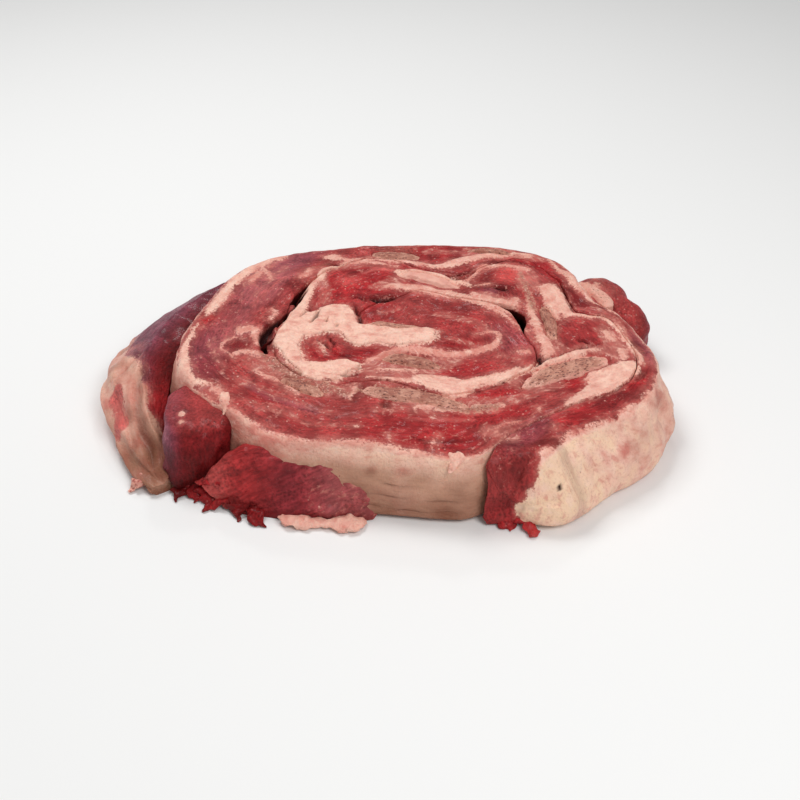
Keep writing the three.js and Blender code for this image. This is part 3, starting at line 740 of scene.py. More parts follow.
def bone_hollow(points):
    """How much lower the cut face is at each plan point, to leave room for the bones."""
    hollow = np.zeros(len(points))
    for number, middle, size, turn in BONES:
        inside = outline_depth(points, bone_outline(middle, size, turn, 1.0))
        hollow = np.maximum(hollow, BONE_HOLLOW * smoothstep(-0.9, 0.6, inside))
    return hollow


def face_warp(points):
    """Small shift that makes every outline a little uneven; neighbours move together."""
    shift = 0.7 * noise_shift(points, 9.0, (21, 22)) + 0.22 * noise_shift(points, 2.6, (24, 25))
    return np.column_stack([shift, np.zeros(len(shift))])


fat, fat_tone, lean, shaded_seam, mixed, top_tan = paint_cut_face(plan)
rim = row_at(FAT_RIM, angle)[0] + 0.9 * value_noise(np.column_stack([plan, height]), 4.0, 31)
rim -= 3 * near_end
fat = np.where(angle < 335, np.maximum(fat, rim - from_outer), fat)

# The outer side is a cover of fat; a few windows of lean and silverskin show through it.
solid_points = np.column_stack([plan, height])
COVER_DEPTH = 4.0
COVER_UNEVEN = 3.5
BARE_BACK = 4.2  # how much thinner the cover is at the back
cover = COVER_DEPTH + COVER_UNEVEN * value_noise(solid_points * np.array([1, 1, 1.6]), 11.0, 32)
cover -= BARE_BACK * smoothstep(60, 110, angle) * (1 - smoothstep(150, 190, angle))
is_outer = across > 0.5
wall_fat = np.where(is_outer & (angle < OUTERMOST_TURN), cover, -4.0)
below = 1 - smoothstep(0.0, 0.5, on_top)
fat = fat * (1 - below) + wall_fat * below
# Tone of the cover round the coil: (angle, tone), pale in front and warmer at the sides. The pinker tone at
# 210 to 228 degrees, behind the left lump and the front flap, is partly painted shade.
COVER_TONE = [(-70, -0.35), (-48, -0.25), (-34, 0.0), (-18, 0.2), (0, 0.4), (30, 0.7), (90, 0.6),
              (180, 0.5), (210, 0.9), (228, 0.85), (262, 0.5), (285, 0.5)]
wall_tone = row_at(COVER_TONE, angle)[0] + 0.25 * value_noise(solid_points, 8.0, 33)
loose_fat = 1 - smoothstep(-10, 30, angle)
wall_tone += 0.4 * loose_fat * value_noise(solid_points * np.array([1, 1, 0.6]), 3.4, 47)
# The front side goes from cream at its top edge to a dull tan at its foot; the darkening towards the foot is
# partly painted shade.
front_side = smoothstep(232, 246, angle) * (1 - smoothstep(292, 300, angle))
wall_tone += front_side * (0.9 * smoothstep(26, 3, height) - 0.6)
# Pink spots on the outer side: (x, y, z), reach and how much pinker.
WALL_SPOTS = [
    ((83, -54, 19), 3.2, 0.9), ((97, -30, 25), 6, 0.6), ((-13, -70, 20.5), 2.2, 0.8),
    ((-1, -72, 22), 2.0, 0.6), ((56, -77, 24), 2.0, 0.4), ((70, -66, 22), 3.0, 0.35),
    ((20, -73, 15), 3.0, 0.3), ((101, -12, 18), 6.0, 0.4),
]
for spot, reach, pinker in WALL_SPOTS:
    wall_tone += pinker * soft_spot(solid_points, spot, reach)
# Wrinkles that run along the foot of the front side: (angle, height) from end to end.
WALL_LINES = [
    [(244, 12.5), (262, 11), (292, 9.2)],
    [(250, 6.5), (270, 5.2), (292, 5.6)],
    [(256, 17), (268, 15.5), (276, 16)],
]
WALL_LINE_WIDTH = 0.55
WALL_LINE_FADE = 8.0  # angle over which a wrinkle fades at its ends
wall_line = np.zeros(len(angle))
for line in WALL_LINES:
    starts, stops = line[0][0], line[-1][0]
    shows = smoothstep(starts, starts + WALL_LINE_FADE, angle)
    shows *= 1 - smoothstep(stops - WALL_LINE_FADE, stops, angle)
    off_line = (height - row_at(line, angle)[0]) / WALL_LINE_WIDTH
    wall_line = np.maximum(wall_line, shows * np.exp(-off_line ** 2))
wall_line *= is_outer * below
# Dents and bumps of the outer side: (x, y, z), reach and depth.
WALL_DENTS = [
    ((63, -73, 13), 7.0, -1.5), ((68, -68, 6), 8.0, -2.2), ((101.5, -32, 17), 4.0, 2.6),
    ((106, -27, 9), 5.0, -2.2), ((96, -41, 8), 5.0, -1.4), ((88, -50, 10), 4.0, 1.4),
    ((76, -61, 7), 5.0, -1.2), ((46, -77, 11), 3.0, -1.0), ((66, -71, 15), 6.0, -0.9),
]
dent = np.zeros(len(angle))
for spot, reach, depth in WALL_DENTS:
    dent += depth * soft_spot(solid_points, spot, reach)
dent *= is_outer * below
fat_tone = fat_tone * (1 - below) + wall_tone * below
wall_lean = np.tile(np.array(DEEP[:3]), (len(plan), 1))
# At the cut end the lean is lighter rose towards the top, which is partly painted light.
tint(wall_lean, ROSE, near_end * (0.55 + 0.4 * smoothstep(8, 24, height)))
tint(wall_lean, CRIMSON, near_end * (0.2 + 0.3 * value_noise(solid_points, 5.0, 54)))
lean = lean * (1 - below[:, None]) + wall_lean * below[:, None]
# Painted shade: the inner sides of the turns, down in the gaps between them, are painted darker towards the
# foot.
in_gap = below * (~is_outer | (angle > OUTERMOST_TURN))
shaded_seam = shaded_seam * (1 - below) + 2.4 * in_gap * smoothstep(0.5, 4.0, STRIP_HEIGHT - height) * (1 - near_end)
# Tan fascia over the fat of the outer side: (angle, share of it).
FASCIA = [(-70, 0.0), (-45, 0.0), (-30, 0.12), (-15, 0.2), (10, 0.4), (60, 0.6), (200, 0.7), (225, 0.75),
          (240, 0.95), (290, 0.95)]
fascia = row_at(FASCIA, angle)[0] * below + 0.25 * below * value_noise(solid_points, 7.0, 34)
TAN_SPOT = ((97, -30, 23), (6, 7, 5))  # place and reach of a tan stain at the right
fascia *= smoothstep(1.5, 12.0, STRIP_HEIGHT - height)
fascia += 0.4 * soft_spot(solid_points, *TAN_SPOT) * below
fascia = np.clip(fascia + top_tan * (1 - below), 0, 1)
# Painted shade: the wrinkles are painted darker along their lines, as in their creases.
shaded_seam += 0.9 * wall_line

fat_rise = (0.3 + 0.5 * (1 - np.clip(fat_tone, 0, 1))) * smoothstep(-0.8, 1.4, fat)
bundles = value_noise(np.column_stack([distance * 0.3, from_outer, height]), 2.2, 40)
bundles *= 1 - smoothstep(-1.0, 0.5, fat)
lump = 0.3 * value_noise(solid_points, 5.0, 41) + 0.16 * value_noise(solid_points, 2.0, 42) + 0.22 * bundles
relief = top_height(plan[:, 0], plan[:, 1]) - STRIP_HEIGHT + fat_rise + lump - shaded_seam - bone_hollow(plan)
level = np.where(rise > 0, height + relief * on_top, height)

# The cover is lumpy: it swells and sinks along the normal of the side, clear of the foot.
SWELL_FROM = 5.0  # height at which it swells in full
swell_size = 0.45 + 0.55 * (1 - smoothstep(-30, 20, angle)) * smoothstep(4, 26, distance)
swell = swell_size * (1.3 * value_noise(solid_points * np.array([1, 1, 1.4]), 9.0, 43)
                      + 0.45 * value_noise(solid_points, 3.2, 44))
swell += 0.45 * loose_fat * value_noise(solid_points, 2.1, 48)
swell *= is_outer * below * np.clip(height / SWELL_FROM, 0, 1)
outward = outer - inner
outward /= np.maximum(np.linalg.norm(outward, axis=1), 1e-6)[:, None]
swell -= 0.8 * wall_line + dent
plan = plan + outward * (swell * (angle < OUTERMOST_TURN))[:, None]

# The sections at the cut end shrink towards their middle, swell forward and get uneven.
across_way = outer - inner
end_middle = (inner + across_way * END_MIDDLE[0]).reshape(STATIONS, ring_count, 2).mean(axis=1)
end_middle = np.repeat(end_middle, ring_count, axis=0)
end_ahead = np.column_stack([across_way[:, 1], -across_way[:, 0]])
end_ahead /= np.linalg.norm(end_ahead, axis=1)[:, None]
from_middle = ((plan - end_middle) * across_way).sum(axis=1) / (across_way ** 2).sum(axis=1)
across_share = np.abs(from_middle) / np.where(from_middle > 0, 1 - END_MIDDLE[0], END_MIDDLE[0])
up_share = np.clip((level - END_MIDDLE[1]) / (STRIP_HEIGHT - END_MIDDLE[1]), 0, None)
bluntness = np.maximum((across_share ** END_BLUNTNESS + up_share ** END_BLUNTNESS) ** (1 / END_BLUNTNESS), 1)
rounding = 1 + (1 / bluntness - 1) * smoothstep(0, 1, 1 - end_depth) * (up_share > 0)
plan = end_middle + (plan - end_middle) * (end_scale * rounding)[:, None]
plan += end_ahead * (END_SWELL * (1 - end_depth) ** 2)[:, None]
foot_scale = np.where(level < END_MIDDLE[1], 0.25 + 0.75 * end_scale, end_scale * rounding)
level = END_MIDDLE[1] + (level - END_MIDDLE[1]) * foot_scale
end_points = np.column_stack([plan, level])
end_bumps = 1.5 * value_noise(end_points, 6.0, 51) + 0.6 * value_noise(end_points, 2.3, 52)
plan += end_ahead * (end_bumps * near_end * smoothstep(0, 4, level) * (1 - end_depth))[:, None]

coil_points = np.column_stack([plan, level])
coil_points += face_warp(coil_points) * smoothstep(0, 4, level)[:, None]

# The cut end is lean on its left and fat on its right: (height, x) of the line between them.
END_FAT_LINE = [(0, 46), (3, 42.5), (6, 40.6), (8.5, 40), (15, 42.9), (19.3, 44.8), (22.3, 46.6),
                (25.8, 47.2), (28.4, 47.6), (32, 50)]
past_line = coil_points[:, 0] - row_at(END_FAT_LINE, coil_points[:, 2])[0]
past_line += 1.2 * value_noise(coil_points, 2.6, 53)
end_fat = np.where(is_outer | (distance < 0.5 * END_ROUND), np.clip(past_line * 1.6, -4, 4), -4.0)
at_end = 1 - smoothstep(1.3 * END_ROUND, 1.9 * END_ROUND, distance)
at_end *= np.maximum(below, 1 - smoothstep(0.3 * END_ROUND, 0.9 * END_ROUND, distance))
fat = fat * (1 - at_end) + end_fat * at_end
# A small hole in the fat of the end, drawn only as a dark spot of painted shade: its place, reach and depth.
END_HOLE_SHADE = ((55.2, -75.8, 17.6), (0.8, 4.0, 0.8), 4.0)
hole_shade = END_HOLE_SHADE[2] * soft_spot(coil_points, *END_HOLE_SHADE[:2])
shaded_seam += hole_shade * below * is_outer * (distance < 3 * END_ROUND)
shaded_seam *= 1 - 0.9 * at_end * (end_fat < 0)
grain = np.column_stack([distance, from_outer, level])
at_end = near_end[:, None]
grain = grain * (1 - at_end) + coil_points[:, [2, 0, 1]] * at_end


def cap_rings(end_ring, rings):
    """Rings that close an open end, from its middle out."""
    middle = end_ring.mean(axis=0)
    return [middle + (end_ring - middle) * (k + 0.5) / rings for k in range(rings)]


def with_caps(values, closers_start, closers_end):
    """Adds the rings of both ends to a block of values, one row for each ring."""
    block = values.reshape(STATIONS, ring_count, -1)
    return np.concatenate([closers_start, block, closers_end]).reshape(-1, block.shape[2])


ring_points = coil_points.reshape(STATIONS, ring_count, 3)
start_cap = np.array(cap_rings(ring_points[0], CAP_RINGS))
end_cap = np.array(cap_rings(ring_points[-1], CAP_RINGS))[::-1]

coil_all = with_caps(coil_points, start_cap, end_cap)


def repeat_ring(values, index):
    return np.repeat(values.reshape(STATIONS, ring_count, -1)[index][None], CAP_RINGS, axis=0)


mixed *= (1 - below) * (1 - near_end)
mixed -= 0.4 * near_end * below
fat_all, tone_all, lean_all, fascia_all, shaded_seam_all, mixed_all, grain_all = (
    with_caps(values, repeat_ring(values, 0), repeat_ring(values, -1))
    for values in (fat, fat_tone, lean, fascia, shaded_seam, mixed, grain))


def to_scene(points):
    return (np.asarray(points, float) + np.array([COIL_OFFSET[0], COIL_OFFSET[1], 0])) * MM


def tube_mesh(name, points, rows, columns):
    """A closed mesh from a grid primitive: rows of rings, joined round and shut at both ends."""
    bpy.ops.object.select_all(action="DESELECT")
    bpy.ops.mesh.primitive_grid_add(x_subdivisions=rows - 1, y_subdivisions=columns, size=2)
    piece = bpy.context.object
    piece.name = name
    flat = np.empty(len(piece.data.vertices) * 3)
    piece.data.vertices.foreach_get("co", flat)
    flat = flat.reshape(-1, 3)
    row = np.rint((flat[:, 0] + 1) / 2 * (rows - 1)).astype(int)
    column = np.rint((flat[:, 1] + 1) / 2 * columns).astype(int) % columns
    index = row * columns + column
    piece.data.vertices.foreach_set("co", to_scene(points)[index].ravel())
    source = piece.data.attributes.new("source", "INT", "POINT")
    source.data.foreach_set("value", index.astype(np.int32))
    bpy.ops.object.mode_set(mode="EDIT")
    bpy.ops.mesh.select_all(action="SELECT")
    bpy.ops.mesh.remove_doubles(threshold=1e-7)
    bpy.ops.mesh.select_all(action="DESELECT")
    bpy.ops.mesh.select_non_manifold(extend=False, use_wire=False, use_multi_face=False,
                                     use_non_contiguous=False, use_verts=False)
    bpy.ops.mesh.edge_face_add()
    bpy.ops.mesh.select_all(action="SELECT")
    bpy.ops.mesh.normals_make_consistent(inside=False)
    bpy.ops.object.mode_set(mode="OBJECT")
    return piece


def source_of(piece):
    index = np.empty(len(piece.data.vertices), np.int32)
    piece.data.attributes["source"].data.foreach_get("value", index)
    return index


def store_values(piece, name, kind, field, values):
    attribute = piece.data.attributes.new(name, kind, "POINT")
    attribute.data.foreach_set(field, np.ascontiguousarray(values, np.float32).ravel())


def give_attributes(piece, fat_depth, tone, fascia_share, lean_rgb, shaded_seam_depth, grain_place, mixed_share=0.0):
    """Stores what the raw meat's material reads: one value for each vertex."""
    index = source_of(piece)
    for name, values in (("fat", fat_depth), ("tone", tone), ("fascia", fascia_share), ("shaded_seam", shaded_seam_depth),
                         ("mixed", mixed_share)):
        for_each = np.broadcast_to(np.asarray(values, np.float32).ravel(), (len(lean_rgb),))
        store_values(piece, name, "FLOAT", "value", for_each[index])
    rgba = np.column_stack([lean_rgb, np.ones(len(lean_rgb))])
    store_values(piece, "lean", "FLOAT_COLOR", "color", rgba[index])
    store_values(piece, "grain", "FLOAT_VECTOR", "vector", np.asarray(grain_place)[index])
    piece.data.attributes.remove(piece.data.attributes["source"])


SHARP_ANGLE = 65


def select_only(*pieces):
    """Selects these objects alone, with the first one active."""
    bpy.ops.object.select_all(action="DESELECT")
    for piece in pieces:
        piece.select_set(True)
    bpy.context.view_layer.objects.active = pieces[0]


def finish_piece(piece, material, slot, *nodes):
    """Gives a piece its material, smooth shading and body, and hides the nodes that it replaces; the slot is
    not used.
    """
    piece.data.materials.clear()
    piece.data.materials.append(material)
    select_only(piece)
    bpy.ops.object.shade_smooth_by_angle(angle=math.radians(SHARP_ANGLE))
    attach(piece, "root")
    if nodes:
        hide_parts(*nodes)


# Raw beef: wet muscle in fine bundles, with wisps of marbling, and soft fat whose edge is a little ragged.
# The lean is deep red, the fat cream to pink and waxy, both wet, and light goes a millimetre into them.
FAT_WHITE = linear_colour("#F8C8B4")
FAT_PINK = linear_colour("#D98578")
FAT_TAN = linear_colour("#BC7660")
FAT_LIP = linear_colour("#FFD8C6")
FAT_CREAM = linear_colour("#FFDAB8")
FASCIA_DARK = linear_colour("#8E5A45")
FASCIA_LIGHT = linear_colour("#D8A68C")
MARBLE = linear_colour("#C87A6E")
FLECK = linear_colour("#F0BCAC")
# Near-black red of seams, holes and the gaps between turns: painted shade.
SEAM_SHADE = linear_colour("#2A0706")
BROWN_PORE = linear_colour("#6E3128")
BEEF_NOISES = [
    # size of its grain in millimetres, how it is drawn out along the fibres, detail, roughness, distortion
    (1.1, (0.2, 1.0, 1.0), 4.0, 0.6, 0.0),  # bundles of muscle
    (2.4, (0.6, 1.0, 1.0), 4.5, 0.62, 0.25),  # wisps of marbling
    (10 / 3, (0.6, 1.0, 1.0), 3.0, 0.6, 0.0),  # pink and pale clouds in the fat
    (1.0, (0.12, 0.3, 0.4), 4.0, 0.6, 0.0),  # streaks of fascia
    (20 / 3, None, 3.0, 0.5, 0.0),  # darker and lighter places
    (1.0, None, 4.0, 0.62, 0.0),  # grit; the real one is finer, and is drawn this coarse so that it shows
    (12.5, None, 2.0, 0.5, 0.0),  # where the lean is spongy
]
SPONGE_CELL = 1.25
# cell size of the pale flecks on the lean, which are painted glints
GLINT_FLECK_CELL = 2.0
PORE_CELL = 10 / 9
LINEAR = "LINEAR"
SMOOTH = "SMOOTHSTEP"
MATHS = "ShaderNodeMath"
RANGE = "ShaderNodeMapRange"
VECTORS = "ShaderNodeVectorMath"
MIX = "ShaderNodeMix"
NOISE = "ShaderNodeTexNoise"
CELLS = "ShaderNodeTexVoronoi"
ATTRIBUTE = "ShaderNodeAttribute"


def fill_inputs(tree, node, inputs):
    """Gives a node its inputs, values or sockets to link: listed from the first one on, or by name or
    index."""
    for name, value in inputs.items() if isinstance(inputs, dict) else enumerate(inputs):
        if isinstance(value, bpy.types.NodeSocket):
            tree.links.new(value, node.inputs[name])
        else:
            node.inputs[name].default_value = value


def add_node(tree, kind, inputs, out=0, **settings):
    """Adds a node with its settings and inputs, and returns one output."""
    made = tree.nodes.new(kind)
    for name, value in settings.items():
        setattr(made, name, value)
    fill_inputs(tree, made, inputs)
    return made.outputs[out]


def raw_beef():
    material, tree, shader = new_material("raw beef lean and fat")
    fat, tone, fascia, shaded_seam, mixed = (
        add_node(tree, ATTRIBUTE, [], "Fac", attribute_name=name)
        for name in ("fat", "tone", "fascia", "shaded_seam", "mixed"))
    lean = add_node(tree, ATTRIBUTE, [], "Color", attribute_name="lean")
    along_fibre = add_node(tree, ATTRIBUTE, [], "Vector", attribute_name="grain")
    place = add_node(tree, "ShaderNodeTexCoord", [], "Object")
    millimetres = add_node(tree, VECTORS, {0: place, 3: 1 / MM}, operation="SCALE")
    patterns = []
    for size, drawn_out, detail, roughness, distortion in BEEF_NOISES:
        vector = millimetres
        if drawn_out:
            vector = add_node(tree, VECTORS, [along_fibre, drawn_out], operation="MULTIPLY")
        patterns.append(add_node(tree, NOISE, {
            "Vector": vector, "Scale": 1 / size, "Detail": detail, "Roughness": roughness,
            "Distortion": distortion}))
    fibres, wisp, blush, streak, mottle, grit, spongy_place = patterns
    sponge_cells, glint_fleck_cells, pore_cells = (
        add_node(tree, CELLS, {"Vector": millimetres, "Scale": 1 / size, "Randomness": 1.0}, "Distance")
        for size in (SPONGE_CELL, GLINT_FLECK_CELL, PORE_CELL))

    # Sums of patterns, each a factor, a pattern and what is added.
    marbling, wisp_grit, dots_place, wisp_edge, grit_edge, mottle_tone, wisp_tone, dull_tone = (
        add_node(tree, MATHS, parts, operation="MULTIPLY_ADD") for parts in (
            [mixed, 0.17, wisp],
            [wisp, 0.35, 0.0],
            [mixed, 0.1, mottle],
            [wisp, 3.6, -1.8],
            [grit, 4.4, -2.2],
            [mottle, 1.0, -0.5],
            [wisp, 1.4, -0.7],
            [tone, 0.8, -0.2]))
    granules = add_node(tree, MATHS, [grit, 0.65, wisp_grit], operation="MULTIPLY_ADD")
    dullness = add_node(tree, MATHS, [streak, 0.7, dull_tone], operation="MULTIPLY_ADD")
    ragged = add_node(tree, MATHS, [wisp_edge, grit_edge], operation="ADD")
    edge = add_node(tree, MATHS, [fat, ragged], operation="ADD")
    tone_jitter = add_node(tree, MATHS, [mottle_tone, wisp_tone], operation="ADD")
    tone_here = add_node(tree, MATHS, [tone, tone_jitter], operation="ADD", use_clamp=True)

    # Shares that rise or fall over a range of a pattern: pattern, range and the values at its ends.
    (bundle_light, cloud_light, sponge, sponge_gate, haze, wisps, white_wisps, granule_place, plain_lean,
     granule, glint_fleck, glint_fleck_some, glint_fleck_place, fat_mask, smear, smear_place, cream, pink, pale, tan, dull,
     bone_dust, dark_pore, pale_speck, seam_shade_mask, roughness_here) = (
        add_node(tree, RANGE, limits, interpolation_type=ease) for ease, *limits in (
            (LINEAR, fibres, 0.3, 0.7, 0.7, 1.34),
            (LINEAR, mottle, 0.32, 0.68, 0.74, 1.28),
            (LINEAR, sponge_cells, 0.05, 0.62, 0.62, 1.2),
            (LINEAR, spongy_place, 0.46, 0.58),
            (LINEAR, mixed, 0.2, 1.0, 0.0, 0.42),
            (SMOOTH, marbling, 0.6, 0.71, 0.0, 0.7),
            (SMOOTH, marbling, 0.69, 0.82, 0.0, 0.55),
            (LINEAR, mottle, 0.4, 0.6),
            (LINEAR, mixed, -0.4, 0.0),
            (SMOOTH, granules, 0.53, 0.62, 0.0, 0.6),
            (SMOOTH, glint_fleck_cells, 0.24, 0.1, 0.0, 0.65),
            (LINEAR, glint_fleck_cells.node.outputs["Color"], 0.5, 0.6),
            (LINEAR, dots_place, 0.44, 0.56),
            (SMOOTH, edge, -0.6, 1.0),
            (SMOOTH, edge, -3.4, -0.3, 0.0, 0.48),
            (LINEAR, mottle, 0.36, 0.6, 0.25, 1.0),
            (LINEAR, tone, 0.1, -0.4, 0.0, 0.8),
            (SMOOTH, blush, 0.5, 0.72, 0.0, 0.6),
            (SMOOTH, blush, 0.48, 0.3, 0.0, 0.45),
            (LINEAR, grit, 0.48, 0.34, 0.0, 0.28),
            (LINEAR, dullness, 0.0, 1.0),
            (LINEAR, mixed, 0.3, 0.8),
            (LINEAR, pore_cells, 0.5, 0.25),
            (LINEAR, grit, 0.54, 0.64, 0.0, 0.9),
            (SMOOTH, shaded_seam, 0.2, 2.6),
            (LINEAR, grit, 0.3, 0.7, 0.32, 0.6)))

    # Layers that show only in places.
    granular, glint_flecks, smeared, crumbly = plain_lean, plain_lean, smear, bone_dust
    for share in (granule_place, granule):
        granular = add_node(tree, MATHS, [granular, share], operation="MULTIPLY")
    # Painted glints: small pale flecks, a few cells of them, in clusters.
    for share in (glint_fleck, glint_fleck_some, glint_fleck_place):
        glint_flecks = add_node(tree, MATHS, [glint_flecks, share], operation="MULTIPLY")
    smeared = add_node(tree, MATHS, [smeared, smear_place], operation="MULTIPLY")
    crumbly = add_node(tree, MATHS, [crumbly, fascia], operation="MULTIPLY")
    dust, dark_dust, pale_dust = (
        add_node(tree, MATHS, [crumbly, share], operation="MULTIPLY")
        for share in (0.62, dark_pore, pale_speck))

    # Lean: its painted colour, lighter and darker by bundle, spongy in places, with marbling, and pale flecks
    # in clusters that are painted glints.
    light = add_node(tree, MATHS, [bundle_light, cloud_light], operation="MULTIPLY")
    sponge_here = add_node(tree, MIX, {0: sponge_gate, 2: 1.0, 3: sponge})
    light = add_node(tree, MATHS, [light, sponge_here], operation="MULTIPLY")
    lean_colour = add_node(tree, VECTORS, {0: lean, 3: light}, operation="SCALE")
    for share, colour in ((haze, MARBLE), (wisps, MARBLE), (white_wisps, FLECK), (granular, MARBLE),
                          (glint_flecks, FLECK), (smeared, MARBLE)):
        lean_colour = add_node(tree, MIX, {0: share, 6: lean_colour, 7: colour}, 2, data_type="RGBA")

    # Fat: white to pink by its tone, creamier, pinker and paler in places, under tan fascia and bone dust.
    fascia_colour = add_node(tree, MIX, {0: dull, 6: FASCIA_LIGHT, 7: FASCIA_DARK}, 2, data_type="RGBA")
    fat_colour = add_node(tree, MIX, {0: tone_here, 6: FAT_WHITE, 7: FAT_PINK}, 2, data_type="RGBA")
    for share, colour in ((cream, FAT_CREAM), (pink, FAT_PINK), (pale, FAT_LIP), (tan, FAT_TAN),
                          (fascia, fascia_colour), (dust, BROWN), (dark_dust, BROWN_PORE),
                          (pale_dust, FLECK)):
        fat_colour = add_node(tree, MIX, {0: share, 6: fat_colour, 7: colour}, 2, data_type="RGBA")

    surface = add_node(tree, MIX, {0: fat_mask, 6: lean_colour, 7: fat_colour}, 2, data_type="RGBA")
    # Seams, holes and the gaps between turns go to near black: painted shade.
    surface = add_node(tree, MIX, {0: seam_shade_mask, 6: surface, 7: SEAM_SHADE}, 2, data_type="RGBA")
    lean_height = add_node(tree, MATHS, [wisp, 0.7, fibres], operation="MULTIPLY_ADD")
    fat_height = add_node(tree, MATHS, [blush, 1.2, 0.2], operation="MULTIPLY_ADD")
    surface_height = add_node(tree, MIX, {0: fat_mask, 2: lean_height, 3: fat_height})
    surface_height = add_node(tree, MATHS, [surface_height, grit], operation="ADD")
    bump = add_node(tree, "ShaderNodeBump", {"Height": surface_height, "Strength": 0.8, "Distance": 0.7 * MM})
    fill_inputs(tree, shader, {
        "Base Color": surface, "Roughness": roughness_here, "Normal": bump, "IOR": 1.38,
        "Specular IOR Level": 0.16, "Subsurface Weight": 0.12, "Subsurface Radius": (1.0, 0.35, 0.25),
        "Subsurface Scale": 1.3 * MM, "Coat Weight": 0.09, "Coat Roughness": 0.16})
    return material


beef = raw_beef()
coil = tube_mesh("meat_coil", coil_all, STATIONS + 2 * CAP_RINGS, ring_count)
give_attributes(coil, fat_all, tone_all, fascia_all, lean_all, shaded_seam_all, grain_all, mixed_all)
finish_piece(coil, beef, "meat", "rib_strip")

# Core fat
# The thick soft mass of fat at the heart of the coil, pressed into lumps when the strip was rolled up.
# It is the same fat as in the seams, and stands a little proud of the sawn face.
CORE_FAT_X = (-64.0, 19.0)
CORE_FAT_Y = (-34.0, 33.0)
CORE_FAT_STEP = 0.45
CORE_FAT_PROUD = 0.8
CORE_FAT_SUNK = 1.5
CORE_FAT_DEEP = 6.0
CORE_FAT_TURN = -13.0  # direction of its folds

core_x = np.arange(*CORE_FAT_X, CORE_FAT_STEP)
core_y = np.arange(*CORE_FAT_Y, CORE_FAT_STEP)
core_plan = np.stack(np.meshgrid(core_x, core_y, indexing="ij"), axis=-1).reshape(-1, 2)
core_spots = np.column_stack([core_plan, np.full(len(core_plan), STRIP_HEIGHT)])
core_fat, core_tone, core_lean, core_shaded_seam, core_mixed, _ = paint_cut_face(core_plan)
core_warp = 0.9 * noise_shift(core_spots * np.array([1, 1, 0]), 6.0, (11, 13))
core_depth = outline_depth(core_plan + core_warp, FAT_PATCHES[0][1])
core_inside = smoothstep(1.0, 4.5, core_depth)
core_rise = -CORE_FAT_SUNK + (CORE_FAT_SUNK + CORE_FAT_PROUD) * smoothstep(-0.6, 1.5, core_depth)
core_rise += core_inside * (0.8 * value_noise(core_spots, 7.0, 45) + 0.5 * value_noise(core_spots, 3.0, 46))
core_level = top_height(core_plan[:, 0], core_plan[:, 1]) + 0.6 * smoothstep(-0.8, 1.4, core_fat) + core_rise
core_level += 0.3 * value_noise(core_spots, 5.0, 41) + 0.16 * value_noise(core_spots, 2.0, 42)
core_level -= core_shaded_seam + bone_hollow(core_plan)
core_top = np.column_stack([core_plan, core_level])
core_top += face_warp(np.column_stack([core_plan, np.full(len(core_plan), STRIP_HEIGHT)]))
core_under = core_top - np.array([0, 0, CORE_FAT_DEEP])
core_shape = (len(core_x), len(core_y), -1)


def both_sides(over, under):
    """Joins the values of a sheet's top and underside into one ring for each of its rows."""
    over, under = (np.asarray(side, float).reshape(core_shape) for side in (over, under))
    return np.concatenate([over, under[:, ::-1]], axis=1).reshape(-1, over.shape[2])


core_grain = np.column_stack([turned(core_plan, -CORE_FAT_TURN), core_level])
core_piece = tube_mesh("core_fat", both_sides(core_top, core_under), len(core_x), 2 * len(core_y))
give_attributes(core_piece, *(
    both_sides(values, values)
    for values in (core_fat, core_tone, core_fat * 0, core_lean, core_shaded_seam, core_grain, core_mixed)))
finish_piece(core_piece, beef, "meat")

# Outer muscle and its fat flap
# A thin muscle under silverskin that came loose from the strip's outer side and hugs its left, with the
# flap of yellowish fat that covered it hanging down onto the board in two loose folds.
FLAP_STATIONS = [
    # angle, inner radius, crest radius, crest height, outer radius, shoulder height
    (122, 80, 88, 22, 92, 10),
    (136, 84, 98, 23, 107, 12),
    (152, 82, 103, 23, 116, 11.5),
    (168, 84, 107, 23, 124, 11),
    (182, 97, 109, 23.5, 126.5, 10.5),
    (194, 99, 107.5, 20, 122, 8),
    (204, 101, 106.5, 14, 118.5, 5),
    (213, 103, 107, 5, 115.5, 2.5),
]
FLAP_ROWS = 230
FLAP_RING = 96
PURPLE = linear_colour("#7C4250")
SILVER = linear_colour("#9C6C76")


def ridge_places(angle_here, share_here):
    """Radius and height of a low rounded ridge, from its inner foot, share 0, over to its outer foot, 1."""
    inner_foot, crest, tall, outer_side, shoulder = row_at(FLAP_STATIONS, angle_here)
    radius = np.zeros(len(angle_here))
    ridge_height = np.zeros(len(angle_here))
    stops = [
        (0, inner_foot, 0 * tall),
        (0.18, inner_foot, tall * 0.72),
        (0.4, crest, tall),
        (0.62, crest + (outer_side - crest) * 0.62, tall + (shoulder - tall) * 0.45),
        (0.82, outer_side, shoulder),
        (1.0, outer_side - FOOT_ROUND, 0 * tall),
    ]
    for low, high in zip(stops[:-1], stops[1:]):
        straight = np.clip((share_here - low[0]) / (high[0] - low[0]), 0, 1)
        part = (straight + smoothstep(0, 1, straight)) / 2
        chosen = (share_here >= low[0]) & (share_here <= high[0])
        radius = np.where(chosen, low[1] + (high[1] - low[1]) * part, radius)
        ridge_height = np.where(chosen, low[2] + (high[2] - low[2]) * part, ridge_height)
    return radius, ridge_height


def ring_share(ring, rows):
    """Share from one side, 0, over the top to the other, 1, and back under, and which points lie under."""
    over = ring * 5 // 6
    back_under = np.linspace(1, 0, ring - over + 2)[1:-1]
    share_round = np.concatenate([np.linspace(0, 1, over), back_under])
    return np.tile(share_round, rows), np.tile(np.arange(ring) >= over, rows)


